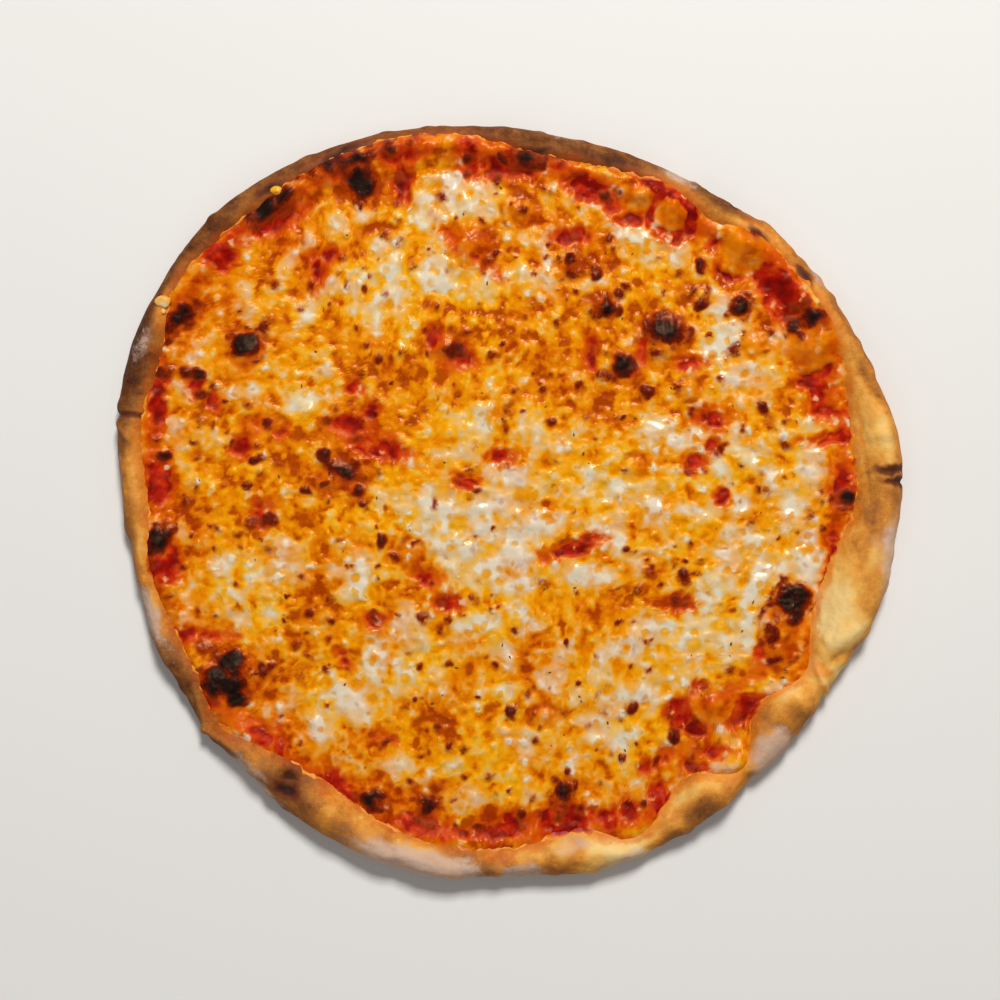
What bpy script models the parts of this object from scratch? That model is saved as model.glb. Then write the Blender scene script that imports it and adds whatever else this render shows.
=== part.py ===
"""Margherita pizza: a baked base with an uneven raised rim, tomato sauce, and a melted cheese layer.

Metres, +Z up. The flat underside lies on z = 0 and the origin is under the middle of the outline.
Each layer is a lofted solid. All three are sampled on the same rays and rings, so that each layer
follows the one below it at a constant gap.
"""

import bmesh
import bpy
import numpy as np

MM = 0.001

# --- Driving dimensions, in millimetres -------------------------------------------------------------

FLOOR = 4.0  # thickness of the base under the toppings
GAP = 0.3  # clearance between layers that lie on each other
RAYS = 108  # directions round the outline
SAUCE_DEPTH = 1.1
SAUCE_EDGE = 0.5  # thickness of the sauce where it thins out on the rim
CHEESE_DEPTH = 2.4
CHEESE_EDGE = 0.9
CHEESE_WAVE = 0.45  # height of the slow unevenness of the melted cheese

# Stations round the rim: direction in degrees from +X, radius of the outer edge, radius that the
# sauce reaches, width of bare sauce before the cheese starts, and height of the rim's crest.
RIM_STATIONS = (
    (0, 154.5, 137.0, 4.5, 15.0),
    (10, 156.0, 137.0, 3.0, 15.0),
    (20, 152.6, 141.0, 2.5, 12.5),
    (30, 152.2, 146.0, 3.0, 10.0),
    (40, 150.7, 145.0, 5.0, 9.5),
    (48, 149.5, 144.5, 3.0, 10.0),
    (55, 147.0, 136.5, 3.0, 12.0),
    (62, 146.0, 141.0, 4.0, 10.5),
    (72, 146.4, 138.5, 6.0, 10.5),
    (82, 146.8, 138.0, 3.5, 11.0),
    (90, 149.0, 141.0, 3.0, 11.0),
    (97, 151.0, 147.0, 3.0, 9.5),
    (107, 154.7, 151.5, 4.0, 9.0),
    (120, 159.5, 154.0, 2.5, 9.5),
    (135, 164.2, 155.0, 3.5, 11.5),
    (148, 164.2, 158.0, 3.0, 10.5),
    (157, 163.2, 150.5, 2.5, 13.0),
    (168, 159.5, 150.0, 3.0, 12.0),
    (180, 154.0, 144.0, 4.0, 12.5),
    (190, 151.5, 145.5, 3.5, 11.0),
    (203, 152.0, 142.0, 2.5, 12.0),
    (210, 150.0, 142.5, 3.0, 11.5),
    (217, 151.7, 146.0, 5.0, 9.5),
    (225, 149.0, 138.0, 3.0, 13.0),
    (232, 151.0, 134.5, 3.5, 13.0),
    (238, 151.0, 133.5, 3.0, 14.5),
    (250, 152.0, 138.0, 4.0, 14.5),
    (262, 150.3, 139.0, 4.5, 13.5),
    (270, 148.0, 137.5, 4.0, 12.5),
    (282, 150.0, 133.5, 6.0, 14.0),
    (291, 149.3, 142.0, 3.0, 11.0),
    (297, 148.2, 134.5, 3.5, 13.0),
    (303, 147.2, 128.5, 4.0, 15.0),
    (311, 145.9, 140.5, 3.0, 11.0),
    (318, 145.9, 128.5, 6.0, 15.5),
    (324, 145.6, 128.5, 4.0, 15.0),
    (330, 145.8, 135.5, 3.0, 12.5),
    (336, 148.4, 129.5, 3.0, 15.5),
    (342, 151.2, 127.5, 3.0, 17.0),
    (352, 152.3, 130.0, 4.5, 16.5),
)

# The rim's section, from the resting edge up to the belly: inset from the outer edge and height.
FOOT_PROFILE = ((5.5, 0.0), (2.2, 1.1), (0.5, 3.0))
BELLY_SHARE = 0.38  # height of the widest point, as a share of the crest's height
CREST_INSET = (5.0, 12.0)  # least and most distance from the outer edge in to the crest
INNER_SLOPE = 12.0  # length of the slope from the crest down to the floor, on the narrowest rim
INNER_SLOPE_GROWTH = 0.6  # extra slope for each millimetre of crest inset

RIM_RINGS = (0.07, 0.24, 0.5, 0.76)  # rings between the outer edge and the sauce, as shares
SLOPE_RINGS = (3.0, 7.0, 13.0)  # rings inside the cheese's edge, on the slope down to the floor
CHEESE_RINGS = (0.92, 0.84, 0.76, 0.67, 0.58, 0.49, 0.4, 0.3, 0.2, 0.1)

# Blisters of the cheese: direction in degrees, distance from the middle, diameter and height.
BLISTERS = (
    (28, 131, 24, 2.6),
    (47, 134, 20, 2.2),
    (98, 103, 20, 2.2),
    (334, 120, 26, 3.2),
    (148, 121, 18, 2.0),
    (211, 131, 24, 2.2),
    (245, 126, 18, 1.8),
    (114, 138, 18, 1.8),
    (60, 84, 18, 1.6),
    (172, 66, 20, 1.8),
    (318, 62, 20, 1.6),
    (255, 60, 18, 1.4),
)
WAVES = ((3, 0.045, 0.4), (5, 0.071, 2.1), (2, 0.103, 4.4))  # lobes, radial rate per mm, phase

DOUGH = ("baked dough", (0.63, 0.38, 0.17, 1.0), 0.75)
TOMATO = ("tomato sauce", (0.38, 0.03, 0.01, 1.0), 0.35)
CHEESE = ("melted cheese", (0.76, 0.38, 0.07, 1.0), 0.4)


def clear_scene():
    """Remove whatever the file holds at the start."""
    for item in list(bpy.data.objects):
        bpy.data.objects.remove(item)


def round_the_rim(degrees, values, directions):
    """A smooth closed curve through the station values: cubic pieces whose slopes are the mean of both sides."""
    start = np.asarray(degrees, float)
    value = np.asarray(values, float)
    span = np.diff(np.append(start, start[0] + 360.0))
    rise = np.diff(np.append(value, value[0])) / span
    slope = 0.5 * (rise + np.roll(rise, 1))
    piece = np.searchsorted(start, directions, side="right") - 1
    after = (piece + 1) % len(start)
    t = (directions - start[piece]) / span[piece]
    return (
        (1 + 2 * t) * (1 - t) ** 2 * value[piece]
        + t * (1 - t) ** 2 * span[piece] * slope[piece]
        + t**2 * (3 - 2 * t) * value[after]
        + t**2 * (t - 1) * span[piece] * slope[after]
    )


class Outline:
    """The measures of the pizza along each ray, in millimetres."""

    def __init__(self):
        stations = np.array(RIM_STATIONS)
        self.degrees = np.arange(RAYS) * 360.0 / RAYS
        angle = np.radians(self.degrees)
        self.across = np.cos(angle)
        self.along = np.sin(angle)
        self.edge, self.sauce, bare_sauce, self.crest = (
            round_the_rim(stations[:, 0], stations[:, column], self.degrees) for column in range(1, 5)
        )
        self.cheese = self.sauce - bare_sauce
        self.crest_inset = np.clip(0.5 * (self.edge - self.sauce), *CREST_INSET)
        self.slope = INNER_SLOPE + INNER_SLOPE_GROWTH * self.crest_inset
        x = self.edge * self.across
        y = self.edge * self.along
        self.middle = (0.5 * (x.min() + x.max()), 0.5 * (y.min() + y.max()))

    def point(self, radius, height):
        """One ring: a row of points, one for each ray, moved so that the outline is centred."""
        height = np.broadcast_to(height, radius.shape)
        return np.column_stack(
            (radius * self.across - self.middle[0], radius * self.along - self.middle[1], height)
        )

    def dough_height(self, radius):
        """Height of the dough's upper side: a quarter ellipse from the belly up to the crest, then a cosine
        slope down to the floor."""
        inset = self.edge - radius
        belly = BELLY_SHARE * self.crest
        outside = np.clip(1 - inset / self.crest_inset, 0, 1)
        climb = belly + (self.crest - belly) * np.sqrt(1 - outside**2)
        inside = np.clip((inset - self.crest_inset) / self.slope, 0, 1)
        fall = FLOOR + (self.crest - FLOOR) * 0.5 * (1 + np.cos(np.pi * inside))
        return np.where(inset < self.crest_inset, climb, fall)

    def topping_rings(self):
        """Radii of the rings that all the layers share, from the cheese's edge to the flat floor."""
        return [self.cheese] + [self.cheese - step for step in SLOPE_RINGS]


class Loft:
    """A solid made of rings of vertices joined by bands of triangles."""

    def __init__(self, name, material, outline):
        self.name = name
        self.material = material
        self.outline = outline
        self.mesh = bmesh.new()

    def ring(self, radius, height):
        """Add one ring of vertices."""
        return [self.mesh.verts.new(place * MM) for place in self.outline.point(radius, height)]

    def band(self, outer, inner, facing_up=True):
        """Join two rings. The diagonals always run from the outer ring forward to the inner one, so that
        facing layers fold along the same lines and can't cross."""
        for i in range(RAYS):
            j = (i + 1) % RAYS
            for corners in ((outer[i], outer[j], inner[j]), (outer[i], inner[j], inner[i])):
                self.mesh.faces.new(corners if facing_up else corners[::-1])

    def bands(self, rings, facing_up=True):
        """Join each ring to the next, from the outside in."""
        for outer, inner in zip(rings, rings[1:]):
            self.band(outer, inner, facing_up)

    def cap(self, ring, facing_up=True):
        """Close a flat ring with triangles that are as compact as they can be."""
        face = self.mesh.faces.new(ring if facing_up else ring[::-1])
        bmesh.ops.triangulate(self.mesh, faces=[face], ngon_method="BEAUTY")

    def peak(self, ring, height):
        """Close a ring with a fan round a middle vertex."""
        middle = self.mesh.verts.new(
            (-self.outline.middle[0] * MM, -self.outline.middle[1] * MM, height * MM)
        )
        for i in range(RAYS):
            self.mesh.faces.new((ring[i], ring[(i + 1) % RAYS], middle))

    def finish(self):
        """Turn the solid into an object with its material."""
        data = bpy.data.meshes.new(self.name)
        self.mesh.to_mesh(data)
        self.mesh.free()
        data.materials.append(principled(*self.material))
        data.shade_smooth()
        data.set_sharp_from_angle(angle=np.radians(40))
        made = bpy.data.objects.new(self.name, data)
        bpy.context.scene.collection.objects.link(made)
        return made


def principled(name, colour, roughness):
    """A plain non-metallic material."""
    material = bpy.data.materials.new(name)
    material.use_nodes = True
    shader = material.node_tree.nodes["Principled BSDF"]
    shader.inputs["Base Color"].default_value = colour
    shader.inputs["Roughness"].default_value = roughness
    shader.inputs["Metallic"].default_value = 0.0
    return material


def make_crust(outline):
    """The dough: a flat foot, a bulging flank, the rim's crest, and the floor under the toppings."""
    loft = Loft("crust", DOUGH, outline)
    foot = [loft.ring(outline.edge - inset, height) for inset, height in FOOT_PROFILE]
    radii = [outline.edge]
    radii += [outline.edge + share * (outline.sauce - outline.edge) for share in RIM_RINGS]
    radii += [outline.sauce] + outline.topping_rings()
    upper = [loft.ring(radius, outline.dough_height(radius)) for radius in radii[:-1]]
    floor = loft.ring(radii[-1], FLOOR)
    loft.bands(foot + upper + [floor])
    loft.cap(foot[0], facing_up=False)
    loft.cap(floor)
    return loft.finish()


def sauce_top(outline, radius):
    """Height of the sauce: its depth thins out towards its edge."""
    share = np.clip((outline.sauce - radius) / SLOPE_RINGS[-1], 0, 1)
    depth = SAUCE_EDGE + (SAUCE_DEPTH - SAUCE_EDGE) * np.sqrt(share)
    return outline.dough_height(radius) + GAP + depth


def make_sauce(outline):
    """The sauce: a sheet on the dough, which reaches out past the cheese."""
    loft = Loft("tomato_sauce", TOMATO, outline)
    radii = [outline.sauce] + outline.topping_rings()
    under = [loft.ring(radius, outline.dough_height(radius) + GAP) for radius in radii[:-1]]
    under.append(loft.ring(radii[-1], FLOOR + GAP))
    upper = [loft.ring(radius, sauce_top(outline, radius)) for radius in radii[:-1]]
    upper.append(loft.ring(radii[-1], FLOOR + GAP + SAUCE_DEPTH))
    loft.band(under[0], upper[0])
    loft.bands(upper)
    loft.bands(under, facing_up=False)
    loft.cap(upper[-1])
    loft.cap(under[-1], facing_up=False)
    return loft.finish()


def cheese_relief(x, y):
    """Unevenness of the melted cheese: slow waves, and a dome for each blister (a cosine bell)."""
    radius = np.hypot(x, y)
    angle = np.arctan2(y, x)
    relief = np.zeros_like(radius)
    for lobes, rate, phase in WAVES:
        relief += CHEESE_WAVE / len(WAVES) * (1 + np.sin(lobes * angle + phase) * np.sin(rate * radius + phase))
    for direction, distance, diameter, height in BLISTERS:
        turn = np.radians(direction)
        away = np.hypot(x - distance * np.cos(turn), y - distance * np.sin(turn))
        relief += height * 0.5 * (1 + np.cos(np.pi * np.clip(2 * away / diameter, 0, 1)))
    return relief


def cheese_top(outline, radius):
    """Height of the cheese: a rounded edge that rises to its depth, with its relief on it."""
    share = np.clip((outline.cheese - radius) / SLOPE_RINGS[0], 0, 1)
    full = sauce_top(outline, radius) + GAP + CHEESE_DEPTH
    full = full + cheese_relief(radius * outline.across, radius * outline.along)
    edge = sauce_top(outline, radius) + GAP + CHEESE_EDGE
    return edge + (full - edge) * share


def make_cheese(outline):
    """The cheese: one melted sheet on the sauce, with blisters."""
    loft = Loft("melted_cheese", CHEESE, outline)
    radii = outline.topping_rings()
    level = FLOOR + GAP + SAUCE_DEPTH + GAP
    under = [loft.ring(radius, sauce_top(outline, radius) + GAP) for radius in radii[:-1]]
    under.append(loft.ring(radii[-1], level))
    radii += [radii[-1] * share for share in CHEESE_RINGS]
    upper = [loft.ring(radius, cheese_top(outline, radius)) for radius in radii]
    loft.band(under[0], upper[0])
    loft.bands(upper)
    loft.bands(under, facing_up=False)
    loft.peak(upper[-1], level + CHEESE_DEPTH)
    loft.cap(under[-1], facing_up=False)
    return loft.finish()


def main():
    clear_scene()
    outline = Outline()
    make_crust(outline)
    make_sauce(outline)
    make_cheese(outline)


main()
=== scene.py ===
"""Looks of a whole margherita pizza: baked dough, tomato sauce, melted cheese, and what lies on them.

Lengths in the layout lists are millimetres and meshes are metres. The outline of the rim and of the
toppings is measured on the CAD solids, so that every piece follows the frame.
"""

import logging
from collections.abc import Iterator
from dataclasses import dataclass, field
from enum import Enum

import bpy
import numpy as np
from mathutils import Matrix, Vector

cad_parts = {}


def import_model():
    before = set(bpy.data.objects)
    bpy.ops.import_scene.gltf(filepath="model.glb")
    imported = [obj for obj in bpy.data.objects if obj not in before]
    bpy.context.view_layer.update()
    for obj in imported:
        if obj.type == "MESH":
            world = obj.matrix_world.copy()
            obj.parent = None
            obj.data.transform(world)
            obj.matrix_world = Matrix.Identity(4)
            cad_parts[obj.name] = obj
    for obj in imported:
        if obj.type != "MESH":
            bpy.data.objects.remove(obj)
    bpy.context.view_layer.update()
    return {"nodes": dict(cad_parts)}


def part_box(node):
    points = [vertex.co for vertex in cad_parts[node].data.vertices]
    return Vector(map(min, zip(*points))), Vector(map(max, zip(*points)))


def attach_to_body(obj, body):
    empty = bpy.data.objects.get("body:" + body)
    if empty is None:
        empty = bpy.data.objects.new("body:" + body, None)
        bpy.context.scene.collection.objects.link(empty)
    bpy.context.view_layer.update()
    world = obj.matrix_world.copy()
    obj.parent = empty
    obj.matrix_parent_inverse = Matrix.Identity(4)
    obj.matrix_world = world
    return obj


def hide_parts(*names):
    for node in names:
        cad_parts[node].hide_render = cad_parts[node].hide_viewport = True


Array = np.ndarray
Colour = tuple[float, float, float, float]
Stops = tuple[tuple[float, Colour], ...]
MM = 0.001
TURN = 2 * np.pi
FAR = 50.0  # millimetres outside a mark, past which its distance makes no difference
SPECULAR = 0.2  # specular level of all the food
EDGE_RING = 140.0  # radius in millimetres of the ring on which the toppings' ragged edges read their noise
LAYOUT_MIDDLE = (-0.7, 0.5)  # the origin of the model, in the coordinates of the layout lists
log = logging.getLogger("pizza")


# --- Numbers ----------------------------------------------------------------------------------------


def ease(value: Array, low: float = 0.0, high: float = 1.0) -> Array:
    """Smooth step: 0 below low, 1 above high, and 3t^2 - 2t^3 between them.

    Args:
        value: where to read the step.
        low: start of the rise.
        high: end of the rise.

    Returns:
        The step at each value.
    """
    t = np.clip((value - low) / (high - low), 0, 1)
    return t * t * (3 - 2 * t)


def blend(share: Array, first: Array, second: Array) -> Array:
    """Straight mix: first where share is 0, second where it is 1."""
    return first + (second - first) * share


def polar(angle: Array, radius: Array | float, height: Array | float) -> Array:
    """Points from their direction, their distance from the middle and their height."""
    return np.column_stack((radius * np.cos(angle), radius * np.sin(angle), angle * 0 + height))


def srgb(red: int, green: int, blue: int) -> Colour:
    """Linear colour of a display colour.

    Args:
        red: first channel, of 0 to 255.
        green: second channel.
        blue: third channel.

    Returns:
        The four channels that a shader takes.
    """
    channels = np.array([red, green, blue]) / 255
    linear = np.where(channels <= 0.04045, channels / 12.92, ((channels + 0.055) / 1.055) ** 2.4)
    return (*(float(c) for c in linear), 1.0)


def stops(*rows: tuple[float, int, int, int]) -> Stops:
    """Stops of a colour ramp, from rows of position and display colour."""
    return tuple((position, srgb(*colour)) for position, *colour in rows)


class Grain:
    """Seeded lattice noise. Sizes are in the unit of the points that it is asked about."""

    def __init__(self, seed: int) -> None:
        """Shuffle the lattice.

        Args:
            seed: its seed.
        """
        source = np.random.default_rng(seed)
        self.order = source.permutation(256)
        slopes = source.normal(size=(256, 3))
        self.slopes = slopes / np.linalg.norm(slopes, axis=1, keepdims=True)
        self.chance = source.random((256, 3))

    def corner(self, i: Array, j: Array, k: Array) -> Array:
        """Index of a lattice corner's random values."""
        return self.order[(self.order[(self.order[i & 255] + j) & 255] + k) & 255]

    def smooth(self, place: Array, size: float) -> Array:
        """Gradient noise: every lattice corner holds a ramp, and a quintic blends the eight nearest ones.

        Args:
            place: points, as rows of three coordinates.
            size: edge of a lattice cell.

        Returns:
            Noise of about -1 to 1 at each point.
        """
        scaled = place / size
        base = np.floor(scaled).astype(int)
        part = scaled - base
        fade = part**3 * (part * (part * 6 - 15) + 10)
        total = np.zeros(len(place))
        for step in np.ndindex(2, 2, 2):
            corner = base + step
            slope = self.slopes[self.corner(corner[:, 0], corner[:, 1], corner[:, 2])]
            ramp = ((part - step) * slope).sum(1)
            weight = np.prod(np.where(step, fade, 1 - fade), axis=1)
            total += weight * ramp
        return total * 1.6

    def fractal(self, place: Array, size: float, octaves: int) -> Array:
        """Sum of noises, each half as large and half as strong as the one before.

        Args:
            place: points, as rows of three coordinates.
            size: size of the first noise.
            octaves: number of noises.

        Returns:
            Noise of about -1 to 1 at each point.
        """
        total = np.zeros(len(place))
        for octave in range(octaves):
            total += self.smooth(place + 17.3 * octave * size, size / 2.03**octave) * 0.5**octave
        return total / (2 - 0.5 ** (octaves - 1)) * 1.25

    def cells(self, place: Array, size: float) -> tuple[Array, Array, Array]:
        """Cell noise in the plane: one random seed point lies in every square cell.

        Args:
            place: points, as rows of three coordinates, of which the first two are read.
            size: edge of a cell.

        Returns:
            Distance to the nearest seed point as a share of size, that seed's own random number, and the
            distance to the second nearest.
        """
        scaled = place[:, :2] / size
        base = np.floor(scaled).astype(int)
        nearest = np.full(len(place), np.inf)
        second = np.full(len(place), np.inf)
        owner = np.zeros(len(place))
        for step in np.ndindex(3, 3):
            cell = base + np.array(step) - 1
            chance = self.chance[self.corner(cell[:, 0], cell[:, 1], cell[:, 0] * 0)]
            away = np.hypot(*(cell + chance[:, :2] - scaled).T)
            closer = away < nearest
            second = np.where(closer, nearest, np.minimum(second, away))
            nearest = np.where(closer, away, nearest)
            owner = np.where(closer, chance[:, 2], owner)
        return nearest, owner, second


# --- Frame ------------------------------------------------------------------------------------------


def rays_through(node: bpy.types.Object, directions: Array) -> tuple[Array, Array]:
    """Where rays from the origin, seen from above, cross the edges of a solid.

    Args:
        node: a CAD solid.
        directions: angles of the rays, in radians.

    Returns:
        Furthest crossing and greatest height along each ray.
    """
    mesh = node.data
    points = np.empty(len(mesh.vertices) * 3)
    mesh.vertices.foreach_get("co", points)
    points = points.reshape(-1, 3)
    edges = np.empty(len(mesh.edges) * 2, np.int32)
    mesh.edges.foreach_get("vertices", edges)
    start, end = points[edges.reshape(-1, 2)].transpose(1, 0, 2)
    reach = np.zeros(len(directions))
    height = np.zeros(len(directions))
    for index, angle in enumerate(directions):
        along = np.array([np.cos(angle), np.sin(angle)])
        across = np.array([-along[1], along[0]])
        side_start = start[:, :2] @ across
        side_end = end[:, :2] @ across
        hit = (side_start * side_end <= 0) & (np.abs(side_start - side_end) > 1e-9)
        share = side_start[hit] / (side_start[hit] - side_end[hit])
        crossing = start[hit] + (end[hit] - start[hit]) * share[:, None]
        ahead = crossing[crossing[:, :2] @ along > 0]
        reach[index] = (ahead[:, :2] @ along).max()
        height[index] = ahead[:, 2].max()
    return reach, height


@dataclass(frozen=True)
class Outline:
    """The pizza's measures in each direction from the origin, in metres."""

    directions: Array
    edge: Array
    crest: Array
    sauce: Array
    cheese: Array
    floor: float
    belly_share: float = 0.38
    foot_inset: float = 5.5 * MM
    least_crest_inset: float = 5.0 * MM
    most_crest_inset: float = 12.0 * MM
    least_slope: float = 12.0 * MM
    slope_growth: float = 0.6
    layer_gap: float = 0.3 * MM

    @classmethod
    def measure(cls, nodes: dict[str, bpy.types.Object], count: int = 720) -> "Outline":
        """Read the outline off the CAD solids.

        Args:
            nodes: the frame's solids by name.
            count: number of directions.

        Returns:
            The measured outline.
        """
        directions = np.arange(count) * TURN / count
        edge, crest = rays_through(nodes["crust"], directions)
        sauce, _ = rays_through(nodes["tomato_sauce"], directions)
        cheese, _ = rays_through(nodes["melted_cheese"], directions)
        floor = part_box("tomato_sauce")[0].z - cls.layer_gap
        rounded = (cls.rounded(measure) for measure in (edge, crest, sauce, cheese))
        return cls(directions, *rounded, floor)

    def around(self, angle: Array, measure: Array) -> Array:
        """A measure at any angle, read from its neighbours."""
        return np.interp(angle % TURN, self.directions, measure, period=TURN)

    @staticmethod
    def rounded(measure: Array, finest: float = 60.0) -> Array:
        """A measure without its corners: its fine waves are faded out.

        Args:
            measure: one value a direction.
            finest: number of waves per turn above which little is left.

        Returns:
            The rounded measure.
        """
        waves = np.fft.rfft(measure)
        fade = np.exp(-((np.arange(len(waves)) / finest) ** 4))
        return np.fft.irfft(waves * fade, len(measure))

    def crest_inset(self, angle: Array) -> Array:
        """Distance from the outer edge in to the rim's crest."""
        bare = self.around(angle, self.edge) - self.around(angle, self.sauce)
        return np.clip(0.5 * bare, self.least_crest_inset, self.most_crest_inset)

    def slope(self, angle: Array) -> Array:
        """Length of the slope from the crest down to the floor."""
        return self.least_slope + self.slope_growth * self.crest_inset(angle)

    def section_height(self, angle: Array, radius: Array) -> Array:
        """Height of the dough by its section alone.

        It is a quarter ellipse from the belly up to the crest, then a cosine slope down to the floor.

        Args:
            angle: directions of the points.
            radius: distances of the points from the origin.

        Returns:
            Height at each point.
        """
        crest = self.around(angle, self.crest)
        inset = self.around(angle, self.edge) - radius
        crest_inset = self.crest_inset(angle)
        belly = self.belly_share * crest
        outside = np.clip(1 - inset / crest_inset, 0, 1)
        climb = belly + (crest - belly) * np.sqrt(1 - outside**2)
        inside = np.clip((inset - crest_inset) / self.slope(angle), 0, 1)
        fall = self.floor + (crest - self.floor) * 0.5 * (1 + np.cos(np.pi * inside))
        return np.where(inset < crest_inset, climb, fall)

    def calm(self) -> "Outline":
        """The same outline with only its slow waves, for the foot of the slope, where notches have faded."""
        slow = (self.rounded(measure, 8.0) for measure in (self.edge, self.crest, self.sauce, self.cheese))
        return Outline(self.directions, *slow, self.floor)

    def dough_height(self, angle: Array, radius: Array) -> Array:
        """Height of the dough's upper side, whose notches fade out from the sauce's edge inwards.

        Args:
            angle: directions of the points.
            radius: distances of the points from the origin.

        Returns:
            Height at each point.
        """
        calm = self.calm()
        inside = self.around(angle, self.sauce) - radius
        deep = calm.around(angle, calm.sauce) - radius
        fade = ease(np.minimum(inside, deep), 0.0, 14 * MM)
        return blend(fade, self.section_height(angle, radius), calm.section_height(angle, radius))


# --- Meshes -----------------------------------------------------------------------------------------


def wrapped_bands(rows: int, columns: int, first: int = 0) -> Array:
    """Quads between neighbouring rings of a grid that closes on itself.

    Args:
        rows: number of rings.
        columns: points on a ring.
        first: index of the grid's first point.

    Returns:
        Four corners a row.
    """
    row, column = np.mgrid[0 : rows - 1, 0:columns].reshape(2, -1)
    after = (column + 1) % columns
    corners = (row * columns + column, row * columns + after)
    corners += ((row + 1) * columns + after, (row + 1) * columns + column)
    return np.column_stack(corners) + first


def fan(ring: Array, middle: int) -> Array:
    """Triangles from each side of a ring to one middle point."""
    return np.column_stack((ring, np.roll(ring, -1), np.full(len(ring), middle)))


@dataclass
class Surface:
    """A mesh in the making: its points in metres, its faces, and what is painted on its points."""

    name: str
    points: Array
    faces: list[Array]
    paint: dict[str, Array] = field(default_factory=dict)

    def build(self, material: bpy.types.Material) -> bpy.types.Object:
        """Turn the arrays into an object.

        Args:
            material: the finish of every face.

        Returns:
            The finished object, at the origin.
        """
        mesh = bpy.data.meshes.new(self.name)
        mesh.vertices.add(len(self.points))
        mesh.vertices.foreach_set("co", self.points.astype(np.float32).ravel())
        loops = np.concatenate([group.ravel() for group in self.faces])
        sizes = np.concatenate([np.full(len(group), group.shape[1]) for group in self.faces])
        mesh.loops.add(len(loops))
        mesh.loops.foreach_set("vertex_index", loops.astype(np.int32))
        mesh.polygons.add(len(sizes))
        mesh.polygons.foreach_set("loop_start", (np.cumsum(sizes) - sizes).astype(np.int32))
        mesh.update(calc_edges=True)
        mesh.validate()
        for label, values in self.paint.items():
            layer = mesh.attributes.new(label, "FLOAT", "POINT")
            layer.data.foreach_set("value", values.astype(np.float32))
        mesh.materials.append(material)
        mesh.shade_smooth()
        made = bpy.data.objects.new(self.name, mesh)
        bpy.context.scene.collection.objects.link(made)
        return made


def joined(name: str, parts: list[Surface]) -> Surface:
    """Many small surfaces as one, with the paint that they all have.

    Args:
        name: name of the joined surface.
        parts: surfaces with the same paint labels.

    Returns:
        One surface.
    """
    starts = np.cumsum([0] + [len(part.points) for part in parts[:-1]])
    faces = [group + start for part, start in zip(parts, starts) for group in part.faces]
    labels = parts[0].paint
    paint = {label: np.concatenate([part.paint[label] for part in parts]) for label in labels}
    return Surface(name, np.concatenate([part.points for part in parts]), faces, paint)


# --- Materials --------------------------------------------------------------------------------------


class Socket:
    """An output of a node. Arithmetic on it adds Math nodes."""

    def __init__(self, graph: "Graph", link: bpy.types.NodeSocket) -> None:
        """Wrap one output."""
        self.graph = graph
        self.link = link

    def math(self, operation: str, first: "Value", second: "Value", clamp: bool = False) -> "Socket":
        """One Math node."""
        settings = {"operation": operation, "use_clamp": clamp}
        return self.graph.node("ShaderNodeMath", settings, {0: first, 1: second})

    def __add__(self, other: "Value") -> "Socket":
        """Sum."""
        return self.math("ADD", self, other)

    def __radd__(self, other: float) -> "Socket":
        """Sum, from the right."""
        return self.math("ADD", other, self)

    def __sub__(self, other: "Value") -> "Socket":
        """Difference."""
        return self.math("SUBTRACT", self, other)

    def __rsub__(self, other: float) -> "Socket":
        """Difference, from the right."""
        return self.math("SUBTRACT", other, self)

    def __mul__(self, other: "Value") -> "Socket":
        """Product."""
        return self.math("MULTIPLY", self, other)

    def __rmul__(self, other: float) -> "Socket":
        """Product, from the right."""
        return self.math("MULTIPLY", other, self)

    def or_more(self, other: "Value") -> "Socket":
        """The greater of the two."""
        return self.math("MAXIMUM", self, other)

    def clamped(self) -> "Socket":
        """The value held between 0 and 1."""
        return self.math("ADD", self, 0.0, clamp=True)

    def eased(self, low: float, high: float) -> "Socket":
        """Smooth step from 0 at low to 1 at high."""
        settings = {"interpolation_type": "SMOOTHSTEP"}
        return self.graph.node("ShaderNodeMapRange", settings, {0: self, 1: low, 2: high, 3: 0.0, 4: 1.0})


Value = Socket | float


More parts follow.
